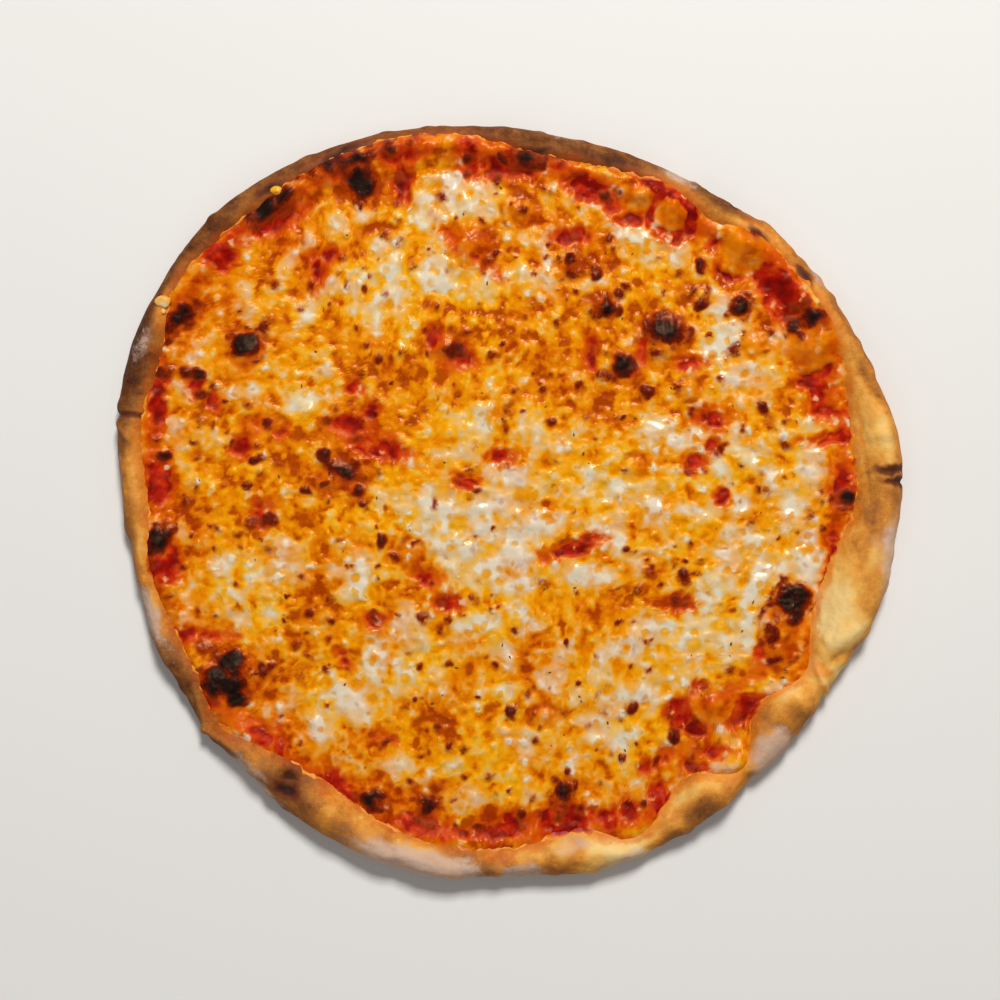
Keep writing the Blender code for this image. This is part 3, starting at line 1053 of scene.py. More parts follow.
@dataclass(frozen=True)
class Ground:
    """What the layers of paint share at each point of the toppings.

    Place is the point in the layout's coordinates, and loose and tight are the same moved about by broad and
    by fine noise. Curdle and blotch are noises, and streaks are strands in the sauce. The rest are depths
    inside the marks of their names, in millimetres.
    """

    place: Array
    loose: Array
    tight: Array
    radius: Array
    curdle: Array
    blotch: Array
    streaks: Array
    swollen: Array
    tomato: Array
    stained: Array
    bubbles: Array
    char: Array


@dataclass(frozen=True)
class Toppings:
    """What the cheese layer is made of at each point, and how high it stands."""

    broad: Grain = Grain(11)
    wander: Grain = Grain(12)
    small: Grain = Grain(13)
    brown_spots: Scatter = Scatter(21, 500, 4.2, 9.0)
    oil_pits: Scatter = Scatter(22, 300, 3.0, 6.5)
    islets: Scatter = Scatter(23, 440, 2.8, 6.0)
    ring_size: float = 3.4  # brown spots wider than this are rings with a paler middle
    even_radius: float = 125.0
    pit_milk: float = 0.34  # milk of the oily pits, and of the next ones
    bubble_milk: float = 0.38
    # the next is the milk of the painted shade round the foot of each oily bubble
    bubble_foot_shade_milk: float = 0.04
    sauce_milk: float = 0.3
    streak_milk: float = 0.6
    stained_milk: float = 0.24
    char_milk: float = 0.12
    toast_strength: float = 0.46
    scorch_strength: float = 0.54
    char_strength: float = 1.05
    halo_strength: float = 0.24
    dome_steepness: float = 0.15  # height as a share of the width
    bubble_steepness: float = 0.09
    curd_height: float = 0.6  # heights of the relief in millimetres
    burn_height: float = 1.1
    bead_height: float = 0.7
    sauce_depth: float = 0.9

    def warped(self, place: Array, size: float, reach: float) -> Array:
        """The points moved about by noise, so that what is drawn with them has a wandering outline."""
        shift = [self.wander.fractal(place + 91.7 * axis, size, 3) for axis in (1, 2)]
        return place + np.column_stack((*shift, np.zeros(len(place)))) * reach

    def evened(self, field_value: Array, radius: Array) -> Array:
        """The field's rank among the points of the inner disc, as a share of 0 to 1."""
        sample = np.sort(field_value[radius < self.even_radius])
        return np.interp(field_value, sample, np.linspace(0, 1, len(sample)))

    def strands(self, place: Array, size: float) -> Array:
        """Winding strands, about 2 mm wide: 1 where a noise crosses 0, and 0 well away from there."""
        return 1 - ease(np.abs(self.small.smooth(place, size)), 0.02, 1.7 / size)

    def spotted(self, place: Array) -> Array:
        """Strength of the small brown spots, each darker on one side.

        Args:
            place: points in millimetres.

        Returns:
            Strength of 0 to 1 at each point.
        """
        strength = np.zeros(len(place))
        for spot_x, spot_y, size, chance in self.brown_spots.spots():
            side_x = place[:, 0] - spot_x
            side_y = place[:, 1] - spot_y
            reach = np.hypot(side_x, side_y) / (0.5 * size)
            lopsided = 0.65 + 0.35 * np.sin(np.arctan2(side_y, side_x) + 6 * chance)
            hollow = 1 - 0.3 * ease(size, self.ring_size, self.ring_size + 2) * (1 - ease(reach, 0.1, 0.7))
            disc = (1 - ease(reach, 0.05, 1.2)) * hollow
            strength = np.maximum(strength, disc * lopsided * (0.42 + 0.28 * chance**1.6))
        return strength

    def survey(self, flat: Array) -> Ground:
        """What the layers of paint share at each point.

        Args:
            flat: points of height 0, in millimetres.

        Returns:
            The points, the noises and the depths inside the laid-out marks.
        """
        place = flat + (*LAYOUT_MIDDLE, 3.7)
        loose = self.warped(self.warped(place, 7.0, 2.4), 3.4, 0.8)
        tight = self.warped(self.warped(place, 5.0, 1.3), 2.6, 0.5)
        ragged = blend(0.5, tight, loose)
        radius = np.hypot(flat[:, 0], flat[:, 1])
        curdle = self.broad.smooth(loose, 10.5) + 0.95 * self.small.smooth(loose, 6.0)
        curdle += 0.25 * self.small.smooth(loose + 30, 3.2)
        blotch = self.small.smooth(place + 15, 4.0)
        streaks = self.strands(self.warped(place, 6.0, 1.5) + 55, 6.5)
        swollen = inside_any(DOMES, tight) + 1.2 * blotch
        tomato = inside_any(TOMATO, tight) + 1.5 * curdle + 0.8 - 1.2 * streaks
        tomato += 0.5 * ease(radius, 100, 125)
        tomato = blend(ease(swollen, -1.0, 2.0), tomato, -3.0)
        stained = inside_any(STAINED, loose) + 1.2 * curdle
        bubbles = inside_any(OILY_BUBBLES, tight)
        char = inside_any(CHARRED, ragged) + 1.3 * curdle + 0.8 * blotch
        points = (place, loose, tight, radius)
        return Ground(*points, curdle, blotch, streaks, swollen, tomato, stained, bubbles, char)

    def marbling(self, ground: Ground) -> Array:
        """The plain cheese: curd, strands and islets, with pits of oil, each by its share of the area.

        Args:
            ground: what the layers share.

        Returns:
            Milk of 0 to 1 at each point.
        """
        gate = ease(self.broad.smooth(ground.place + 70, 12.0), -0.35, 0.25)
        strands = gate * self.strands(ground.loose, 7.5) + (1 - gate) * self.strands(ground.loose + 25, 5.0)
        milky = ease(inside_any(MILKY, ground.loose), -6.0, 10.0)
        oily = ease(inside_any(OILY, ground.loose), -6.0, 10.0)
        raw = 1.15 * np.tanh((inside_any(CURD, ground.loose) + 0.4) / 1.7) + 0.75 * ground.curdle
        raw = raw + 0.9 * strands + 0.7 * (milky - oily)
        for disc, chance in self.islets.discs(ground.tight, 0.4, 1.3):
            raw += (0.6 + 1.2 * chance) * disc
        pits = np.zeros(len(raw))
        for disc, chance in self.oil_pits.discs(ground.tight, 0.25, 1.2):
            pits = np.maximum(pits, (0.4 + 0.6 * chance) * disc)
        milk = self.evened(raw - 0.6 * pits, ground.radius) + 0.02
        return blend(0.75 * pits, milk, self.pit_milk + 0.12 * ground.curdle)

    def browning(self, ground: Ground, milk: Array, least: Array) -> Array:
        """Strength of all that is browned or burnt.

        Args:
            ground: what the layers share.
            milk: the finished milk.
            least: strength that is there in any case: the domes' singeing with the painted shade on their
                lower borders, and the painted shade round the oily bubbles' feet.

        Returns:
            The greatest of the brown spots, the toasted, scorched and charred marks, and the least.
        """
        curdle, blotch, char = ground.curdle, ground.blotch, ground.char
        toast = inside_any(TOASTED, ground.tight)
        scorch = inside_any(SCORCHED, ground.tight) + 0.9 * curdle + 0.6 * blotch
        spots = self.spotted(ground.tight) * (1 - 0.55 * ease(milk, 0.6, 0.9))
        layers = (
            spots * (1 - 0.75 * ease(ground.swollen, -0.5, 2.0)),
            self.toast_strength * ease(toast, -1.6, 3.2) * (1 + 0.4 * curdle + 0.3 * blotch),
            (self.scorch_strength + 0.2 * blotch) * ease(scorch, -2.0, 2.0),
            (self.char_strength + 0.25 * blotch) * ease(char, -2.6, 2.8),
            (self.halo_strength + 0.3 * blotch) * ease(char, -4.2, -2.4),
            least,
        )
        return np.maximum.reduce(layers)

    def paint(self, flat: Array) -> dict[str, Array]:
        """What shows at each point.

        Args:
            flat: points of height 0, in millimetres.

        Returns:
            Paint layers: milk goes from oily hollows at 0 to curd at 1, each by its share of the area. Tomato
            is a depth inside the sauce patches, and burn, rosy and smooth are strengths. Curdle is the noise
            that the layers share. Milk, rosy and burn also hold painted shade: a dark ring round the foot of
            each oily bubble, and the darker, redder lower side of each dome, whose upper side is paler.
        """
        ground = self.survey(flat)
        curdle, blotch, tomato, bubbles = ground.curdle, ground.blotch, ground.tomato, ground.bubbles
        bubble_milk = self.bubble_milk + 0.22 * curdle + 0.14 * blotch
        # Painted shade: a dark ring round the foot of each oily bubble, low in milk and a little browned.
        skirt = ease(bubbles, -2.2, -0.4) * (1 - ease(bubbles, 0.2, 2.6)) * (0.5 + 0.5 * blotch)
        streak = 0.28 * ground.streaks * ease(tomato + 1.3 * ground.streaks, 0.0, 1.5)
        # Each later feature lies on the ones before it.
        milk = blend(0.8 * ease(bubbles, -1.0, 3.0), self.marbling(ground), bubble_milk)
        milk = blend(0.7 * skirt, milk, self.bubble_foot_shade_milk)
        milk = blend(0.8 * ease(tomato, -2.5, 0.8), milk, self.sauce_milk)
        milk = blend(streak, milk, self.streak_milk)
        milk = blend(0.6 * ease(ground.stained, -2.0, 1.0), milk, self.stained_milk)
        rosy = 0.3 + 0.7 * self.broad.fractal(ground.place + 40, 18.0, 2)
        rosy += 0.35 * ease(ground.radius, 105, 134)
        rosy += 0.6 * ease(tomato, -4, 0) + 0.45 * ease(bubbles, -2, 2) + 0.5 * ease(ground.char, -6, -1)
        singe_and_shade = np.zeros(len(flat))
        for dome in DOMES:
            depth = dome.depth_inside(ground.tight) + 1.2 * blotch
            # Painted light and shade on each dome: its lower side, away from the light, is painted darker and
            # redder, and its upper side paler.
            lower = (dome.y - ground.place[:, 1]) / dome.length
            cover = ease(depth, -2.5, 3.5 + 4 * ease(-lower, 0.1, 0.5))
            milk = blend(0.75 * cover, milk, dome.milk + 0.22 * curdle + 0.16 * blotch - 0.12 * lower)
            rosy = blend(0.85 * cover, rosy, dome.rosy + 0.3 * blotch + 0.4 * lower)
            # Painted shade: a browned band along the dome's lower border; the browning over the whole dome is
            # its real singeing.
            border = ease(depth, -2.0, 0.5) * (1 - 0.9 * ease(depth, 0.0, 4.0))
            side = border * ease(lower + 0.5 * blotch, -0.3, 0.5)
            singe_and_shade = np.maximum(singe_and_shade, dome.singe_and_shade * (0.8 * side + 0.35 * cover * (1 + blotch)))
        milk = blend(0.8 * ease(ground.char, -3.2, 0.3), milk, self.char_milk)
        rubbed = -2 + 1.65 * ease(ground.stained, -2.5, 2.0)
        # Burn also holds the painted shade round the oily bubbles' feet and on the domes' lower borders.
        return {
            "milk": milk,
            "tomato": np.maximum(np.clip(tomato / 1.5, -2, 1.5), rubbed),
            "burn": self.browning(ground, milk, np.maximum(0.3 * skirt, singe_and_shade)),
            "rosy": rosy,
            "curdle": curdle,
            "smooth": 0.7 * ease(ground.swollen, -1.0, 3.0),
        }

    def relief(self, flat: Array, paint: dict[str, Array]) -> Array:
        """How far the cheese stands above its mean level, in millimetres.

        Args:
            flat: points of height 0, in millimetres.
            paint: what shows at each point.

        Returns:
            The relief: slow waves, kneaded curd, domes over the oily bubbles, swollen burnt spots, small
            round beads of fat, and hollows where sauce comes through.
        """
        place = flat + (*LAYOUT_MIDDLE, 9.1)
        kneaded = 0.75 * self.broad.smooth(place + 12, 7.5) + 0.45 * self.small.smooth(place + 12, 4.2)
        waves = 0.5 * self.broad.fractal(place, 22.0, 2) + 0.25 * paint["curdle"]
        waves += kneaded * ease(paint["milk"], 0.35, 0.95)
        domes = np.zeros(len(flat))
        for group, steepness in ((DOMES, self.dome_steepness), (OILY_BUBBLES, self.bubble_steepness)):
            for mark in group:
                share = np.clip(mark.depth_inside(place) / (0.5 * mark.width), 0, 1)
                domes = np.maximum(domes, steepness * mark.width * ease(share, 0.0, 0.85))
        swell = self.curd_height * paint["milk"]
        burnt = self.burn_height * ease(paint["burn"], 0.1, 0.7)
        hollow = self.sauce_depth * ease(paint["tomato"], -0.9, 0.6)
        away, chance, second = self.small.cells(self.warped(place, 3.0, 0.5), 3.6)
        size = 0.3 + 0.3 * chance
        beads = self.bead_height * size * np.clip(1 - (away / size) ** 2, 0, 1)
        beads *= ease(second - away, 0.0, 0.3)
        beads *= (1 - 0.85 * ease(paint["milk"], 0.6, 0.85)) * (1 - 0.8 * paint["smooth"])
        beads *= 1 - 0.75 * ease(paint["tomato"], -1.2, 0.4)
        return waves + domes + swell + burnt - hollow + beads


# --- Sub-assemblies ---------------------------------------------------------------------------------


@dataclass(frozen=True)
class RimZone:
    """How the dough is baked in one direction: browning and flour, on the outer side and by the toppings."""

    angle: float
    bake_outer: float
    bake_inner: float
    flour_outer: float
    flour_inner: float


RIM_ZONES = tuple(
    RimZone(*row)
    for row in (
        (0, 0.34, 0.45, 0.1, 0.05), (5, 0.4, 0.25, 0.1, 0), (10, 0.3, 0.05, 0, 0), (17, 0.45, 0.2, 0.05, 0),
        (26, 0.52, 0.32, 0.05, 0), (35, 0.4, 0.22, 0.28, 0.15), (41, 0.5, 0.35, 0, 0),
        (46, 0.55, 0.15, 0.1, 0), (53, 0.88, 0.38, 0.05, 0), (63, 0.78, 0.38, 0.38, 0.25),
        (70, 0.84, 0.98, 0.12, 0.2), (80, 0.88, 0.88, 0.08, 0.08), (90, 1.0, 0.92, 0.05, 0.05),
        (96, 0.88, 0.85, 0.1, 0.05), (104, 0.84, 0.95, 0.05, 0.12), (112, 0.84, 0.94, 0.15, 0.12),
        (120, 0.96, 1.05, 0, 0), (130, 0.84, 0.76, 0.08, 0.08), (139, 0.96, 0.95, 0.05, 0.1),
        (147, 0.88, 0.6, 0.05, 0.05), (152, 1.0, 0.25, 0, 0.1), (158, 0.95, 0.85, 0, 0),
        (164, 0.78, 0.5, 0.1, 0.1), (169, 0.8, 0.4, 0, 0), (178, 0.5, 0.34, 0.2, 0.05),
        (188, 0.55, 0.3, 0.6, 0.5), (195, 0.78, 0.42, 0.75, 0.55), (202, 0.78, 0.46, 0.65, 0.6),
        (210, 0.72, 0.62, 0, 0), (218, 0.8, 0.62, 0, 0), (223, 0.76, 0.55, 0.1, 0.05),
        (226, 0.6, 0.45, 0.4, 0.25), (232, 0.7, 0.85, 0.3, 0), (239, 0.6, 0.38, 0.05, 0),
        (246, 0.35, 0.25, 0.9, 0.6), (262, 0.56, 0.5, 0.62, 0.75), (269, 0.52, 0.45, 0.6, 0.8),
        (273, 0.45, 0.35, 0.5, 0.35), (279, 0.5, 0.1, 0.1, 0.2), (287, 0.2, 0.08, 0.42, 0.3),
        (295, 0.4, 0.12, 0.2, 0.1), (303, 0.58, 0.4, 0.1, 0), (311, 0.3, 0.14, 0.45, 0.35),
        (316, 0.35, 0.35, 0.75, 0.7), (324, 0.4, 0.3, 0.1, 0), (330, 0.02, 0.02, 0, 0),
        (335, 0.35, 0.15, 0.2, 0.1), (341, 0.32, -0.08, 0, 0), (348, 0.3, 0.05, 0.5, 0.05),
        (354, 0.35, 0.25, 0.75, 0.15),
    )
)


@dataclass(frozen=True)
class Fold:
    """A ridge of the rim, or with a negative lift a crease, along a line between two points.

    The points are given by direction in degrees and distance in millimetres.
    """

    start_angle: float
    start_radius: float
    end_angle: float
    end_radius: float
    width: float
    lift: float

    def height(self, place: Array) -> Array:
        """How far the dough is lifted: a bell curve of the distance from the line.

        Args:
            place: points in millimetres.

        Returns:
            Lift in millimetres.
        """
        angles = np.radians((self.start_angle, self.end_angle))
        start, end = polar(angles, np.array((self.start_radius, self.end_radius)), 0.0)[:, :2]
        run_x, run_y = end - start
        x, y = (place[:, :2] - start).T
        share = np.clip((x * run_x + y * run_y) / (run_x**2 + run_y**2), 0, 1)
        away = np.hypot(x - share * run_x, y - share * run_y)
        return self.lift * np.exp(-((away / self.width) ** 2))


RIM_FOLDS = tuple(
    Fold(*row)
    for row in (
        (326, 141, 324.5, 130, 4.5, 1.6), (305.5, 143, 303, 131, 4.5, 1.6), (320, 143, 319, 126, 2.8, -0.7),
        (311, 147, 311, 140, 2.2, -1.2), (334, 128, 329, 145, 1.5, 1.4), (298, 146, 296, 138, 3, 1.0),
        (222, 146, 216.5, 150.5, 1.4, 1.0), (216.5, 150.5, 210, 144, 1.4, 1.0),
        (232, 143, 231, 138, 3.8, -2.6), (240, 145, 239, 136, 4.5, 1.4), (226, 147, 223, 143, 3, 0.8),
        (3.2, 148, 3, 156, 1.0, -1.0), (4.8, 146, 4.8, 154, 0.9, -1.0), (166.8, 152, 167.5, 160, 0.9, -1.0),
        (170.5, 153, 168.6, 159, 1.3, 0.9), (290, 147, 286, 143, 3, 1.0), (281, 139, 280, 134, 2.4, -1.0),
        (277.5, 139, 276, 134, 2, 0.9), (13, 149, 6, 149, 3.2, 1.3), (20, 146, 15.5, 151, 2, -1.0),
        (24, 148, 20, 151, 2.5, 0.9), (48, 149, 42, 148.5, 2, 1.0), (38, 148, 36, 146, 2, -0.8),
        (352, 150, 344, 147, 3.5, 1.0), (341, 146, 337, 139, 3.5, 1.2), (337, 147, 334, 141, 2, -1.0),
        (355, 141, 349, 138, 2.2, -0.9), (262, 149, 256, 148, 3, 0.8), (252, 149, 250, 141, 2.2, -0.8),
        (268, 146, 266, 140, 2.4, 0.8), (205, 150, 200, 149, 2.4, 0.8), (195, 151, 193, 146, 2, -0.7),
        (185, 154, 181, 152, 2.4, 0.8), (60, 146, 57, 141, 2, 0.8), (53, 147, 50, 145, 1.8, -0.8),
    )
)


def rim_marks(*rows: tuple[float, float, float, float]) -> tuple[Mark, ...]:
    """Marks on the rim.

    Args:
        rows: direction in degrees, distance from the middle, length along the rim and width across it.

    Returns:
        The marks, turned to lie along the rim.
    """
    turned = []
    for angle, radius, along, across in rows:
        x, y, _ = polar(np.radians(angle), radius, 0.0)[0]
        turned.append(Mark(x, y, along, across, angle + 90))
    return tuple(turned)


RIM_CHAR = rim_marks(
    (231.8, 143.5, 9, 4.5), (3.3, 152, 2, 8), (4.9, 149, 1.6, 7), (47.5, 143.5, 6, 2.4), (38, 146, 4.5, 1.8),
    (167, 156, 1.6, 9), (116, 153, 16, 3), (127.5, 156, 9, 3), (86, 139, 8, 2),
)
RIM_BROWN = rim_marks(
    (160, 158.5, 14, 4), (96, 145, 7, 3), (21, 150.5, 6, 2.5), (243, 144, 5, 3), (320, 129, 8, 3),
    (346, 145, 7, 3), (276.5, 140, 3, 5), (269, 142, 5, 3), (297, 146, 7, 3), (303, 129.5, 4, 4),
    (323, 141, 3, 8), (327, 143, 6, 3), (325, 138, 18, 12), (303, 141, 24, 9), (346, 144, 16, 7),
    (357, 143, 18, 8), (274, 146, 14, 6), (296, 147, 14, 5), (266, 145, 12, 8), (243, 143, 12, 8),
    (232, 144, 20, 8), (208, 145, 26, 9), (183, 152, 14, 8), (163, 156, 30, 11), (57, 145, 12, 5),
    (21, 149, 12, 6), (30, 149, 20, 4), (9, 145, 20, 4), (1, 149, 8, 6), (281, 140, 7, 8), (215, 148, 12, 5),
    (257, 147, 8, 6), (250, 143, 7, 6), (343, 132, 8, 4),
)
RIM_PALE = rim_marks(
    (339, 140, 24, 16), (341.5, 133, 22, 16), (341.5, 132, 14, 12), (333, 144, 10, 8), (308, 135, 16, 5),
    (300, 134, 14, 6), (284, 143, 22, 12), (327, 132, 14, 5), (216.5, 149, 6, 4), (255, 141, 16, 5),
    (12, 147, 34, 6), (11, 146, 24, 6), (49, 142, 14, 7), (175, 149, 12, 4), (30, 146, 18, 4),
    (290, 146, 10, 8), (35, 142, 8, 4), (352, 143, 12, 5), (272, 139, 12, 5), (195, 146, 14, 5),
    (186, 147, 12, 5),
)
RIM_FLOURY = rim_marks(
    (352, 150, 30, 6), (316, 140, 22, 12), (288, 148, 20, 7), (272, 146, 18, 9), (280, 136, 16, 7),
    (256, 146, 48, 14), (224.5, 147, 17, 5), (197, 148, 18, 7), (157, 158, 16, 5), (63, 144, 14, 6),
    (36, 150, 8, 3), (356, 150, 8, 4), (264, 149, 14, 6), (176, 156, 16, 5), (230, 150, 12, 3),
    (84, 147, 16, 3),
)
RIM_OILY = rim_marks(
    (331.5, 136, 5, 16), (329, 143, 3.5, 7), (311, 140, 14, 5), (307, 133, 5, 10), (315, 133, 5, 8),
    (294, 140, 18, 4), (46, 143, 26, 10), (30, 145, 24, 5), (218, 145, 20, 6), (268, 139, 16, 5),
    (150, 154, 20, 4), (172, 148, 16, 5), (132, 153, 30, 4), (238, 135, 16, 4), (250, 137, 26, 3),
    (11, 140, 24, 3), (60, 140, 12, 4), (325, 129, 12, 3),
)


@dataclass
class Crust:
    """The baked dough: a closed solid whose section is carried round the outline."""

    outline: Outline
    columns: int = 1180
    lower_rings: int = 12
    upper_rings: int = 26
    slope_rings: int = 38
    pleat_radius: float = 40.0  # wrinkles read the noise on a ring of this radius, which draws them out
    unrolled_radius: float = 150.0  # blisters read it on the rim unrolled at this radius
    lump_height: float = 0.9  # heights in millimetres, as the next ones
    grain_height: float = 0.14
    wrinkle_height: float = 0.28
    blister_height: float = 0.9
    mean_height: float = 0.55
    brown_mark: float = 0.17  # how much browner and paler the marks make the dough
    pale_mark: float = 0.24
    coarse: Grain = field(default_factory=lambda: Grain(31))
    fine: Grain = field(default_factory=lambda: Grain(32))
    points: Array = field(init=False)

    def section(self, angle: Array) -> tuple[Array, Array]:
        """Rings of the section, from under the foot to the floor below the toppings.

        The lower flank is a quarter ellipse from the foot to the belly, the upper flank a quarter ellipse
        from the belly to the crest, and the slope follows the dough's height down to the floor.

        Args:
            angle: directions, one a column.

        Returns:
            Radius and height, with a row for each ring.
        """
        outline = self.outline
        edge = outline.around(angle, outline.edge)
        crest = outline.around(angle, outline.crest)
        belly = outline.belly_share * crest
        inset = outline.crest_inset(angle)
        low = np.linspace(0, 0.5 * np.pi, self.lower_rings, endpoint=False)[:, None]
        high = np.linspace(0, 0.5 * np.pi, self.upper_rings, endpoint=False)[:, None]
        down = np.linspace(0, 1, self.slope_rings)[:, None]
        share = np.array([[0.3], [0.7], [0.93]])
        foot = edge - outline.foot_inset
        radius = [share * foot, edge - outline.foot_inset * (1 - np.sin(low))]
        height = [share * foot * 0, belly * (1 - np.cos(low))]
        radius += [edge - inset * (1 - np.cos(high)), edge - inset - outline.slope(angle) * down]
        height += [belly + (crest - belly) * np.sin(high)]
        height += [outline.dough_height(np.broadcast_to(angle, radius[-1].shape), radius[-1])]
        return np.concatenate(radius), np.concatenate(height)

    @staticmethod
    def held(room: Array, margin: float = 0.8 * MM) -> Array:
        """The room left before a limit, squeezed smoothly so that it never falls below 0."""
        short = np.clip(margin - room, 0, None)
        return np.where(short > 0, margin * (1 - np.tanh(short / margin)), room)

    @staticmethod
    def folds(place: Array) -> Array:
        """Lift of all the rim's folds, at points in millimetres."""
        moved = place[:, :2] + LAYOUT_MIDDLE
        return sum(fold.height(moved) for fold in RIM_FOLDS)

    def swelling(self, place: Array, angle: Array, share: Array, beyond_sauce: Array) -> Array:
        """Unevenness of the dough: lumps, wrinkles and small blisters, fading out under the sauce.

        Args:
            place: points in millimetres.
            angle: their directions.
            share: 0 on the outer edge, 1 where the sauce starts.
            beyond_sauce: distance outside the sauce, in millimetres.

        Returns:
            Lift of each point, in millimetres.
        """
        lumps = self.lump_height * self.coarse.fractal(place, 15.0, 3)
        lumps += self.grain_height * self.fine.fractal(place, 3.2, 3)
        radius = np.hypot(place[:, 0], place[:, 1])
        drawn = polar(angle, self.pleat_radius, radius + place[:, 2])
        lumps += self.wrinkle_height * self.fine.fractal(drawn, 4.2, 3)
        lumps *= blend(ease(share, 0.0, 0.3), 0.5, 1.0)
        flat = np.column_stack((angle * self.unrolled_radius, place[:, 2] * 2, place[:, 2]))
        away, chance, _ = self.coarse.cells(flat, 11.0)
        blisters = self.blister_height * chance**2 * ease(1 - away / 0.42)
        return (lumps - self.mean_height + blisters + self.folds(place)) * ease(beyond_sauce, -1.0, 4.0)

    def paint(self, place: Array, angle: Array, share: Array, beyond_sauce: Array) -> dict[str, Array]:
        """What shows on the dough.

        Args:
            place: points in millimetres.
            angle: their directions.
            share: 0 on the outer edge, 1 where the sauce starts.
            beyond_sauce: distance outside the sauce, in millimetres.

        Returns:
            Paint layers of 0 to 1.
        """
        degrees = np.degrees(angle)
        known = [zone.angle for zone in RIM_ZONES]
        wander = degrees + 1.6 * self.coarse.fractal(place, 9.0, 2)

        def zones(label: str) -> Array:
            """One measure of the zones, at each point's direction."""
            return np.interp(wander, known, [getattr(zone, label) for zone in RIM_ZONES], period=360)

        inward = ease(share + 0.15 * self.coarse.fractal(place + 30, 7.0, 2), 0.3, 0.8)
        bake = blend(inward, zones("bake_outer"), zones("bake_inner"))
        shift = [self.coarse.fractal(place + 60 * axis, 8.0, 3) * 2.5 for axis in (0, 1)]
        moved = np.column_stack(shift) + place[:, :2] + LAYOUT_MIDDLE

        def patches(group: tuple[Mark, ...], low: float, high: float) -> Array:
            """Share of cover by a group of marks, each with a wandering soft edge."""
            return ease(inside_any(group, moved), low, high)

        bake = 0.46 + 0.8 * (bake - 0.44) + 0.1 * self.fine.fractal(place, 6.0, 3) - 0.1 * self.folds(place)
        brown, pale = (patches(group, -3.5, 3.5) for group in (RIM_BROWN, RIM_PALE))
        bake += self.brown_mark * brown - self.pale_mark * pale
        bake = np.logaddexp(0, bake * 12) / 12
        under = 1 - ease(place[:, 2], 0.5, 4.0)
        bake = blend(0.7 * under, bake, 0.55 + 0.25 * self.coarse.fractal(place, 10.0, 3))
        flour = 0.5 * blend(inward, zones("flour_outer"), zones("flour_inner"))
        dusted = patches(RIM_FLOURY, -2.5, 2.0)
        flour += 0.55 * dusted
        oil = 1 - ease(beyond_sauce + 2.4 * self.fine.fractal(place, 6.0, 3), -0.5, 4.0)
        oil = np.maximum(oil, 0.95 * patches(RIM_OILY, -2.0, 1.5)) * (1 - 0.6 * dusted)
        near = 1 - ease(beyond_sauce + 2.2 * self.fine.fractal(place + 20, 5.0, 2), -2.5, 6.0)
        stain = near * (0.1 + 0.75 * ease(self.coarse.fractal(place + 90, 11.0, 2), -0.3, 0.6))
        return {
            "bake": bake,
            "flour": flour * (1 - oil) * (1 - 0.6 * under),
            "char": 0.9 * patches(RIM_CHAR, -3.0, 3.4),
            "oil": oil,
            "stain": stain * (1 - under) * (1 - 0.6 * dusted),
        }

    def build(self, material: bpy.types.Material) -> bpy.types.Object:
        """Make the crust.

        Args:
            material: its finish.

        Returns:
            The finished piece.
        """
        columns = np.arange(self.columns) * TURN / self.columns
        radius, height = self.section(columns)
        rings = len(radius)
        outward = np.gradient(height, axis=0)
        upward = -np.gradient(radius, axis=0)
        length = np.hypot(outward, upward) + 1e-12
        angle = np.broadcast_to(columns, radius.shape).ravel()
        place = polar(angle, radius.ravel(), height.ravel())
        sauce = self.outline.around(angle, self.outline.sauce)
        edge = self.outline.around(angle, self.outline.edge)
        beyond = (radius.ravel() - sauce) / MM
        share = (edge - radius.ravel()) / (edge - sauce)
        lift = self.swelling(place / MM, angle, share, beyond) * ease(height.ravel() / MM, 0.0, 3.0) * MM
        place += polar(angle, (outward / length).ravel() * lift, (upward / length).ravel() * lift)
        low, high = (np.array(corner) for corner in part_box("crust"))
        place = high - self.held(high - place)
        place[:, :2] = low[:2] + self.held(place[:, :2] - low[:2])
        self.points = place
        paint = self.paint(place / MM, angle, share, beyond)
        poles = np.array([[0, 0, 0], [0, 0, self.outline.floor]])
        last = (rings - 1) * self.columns + np.arange(self.columns)
        first = np.arange(self.columns)[::-1]
        faces = [wrapped_bands(rings, self.columns), fan(first, len(place)), fan(last, len(place) + 1)]
        paint = {label: np.append(values, values[[0, -1]]) for label, values in paint.items()}
        return Surface("baked_crust", np.vstack((place, poles)), faces, paint).build(material)


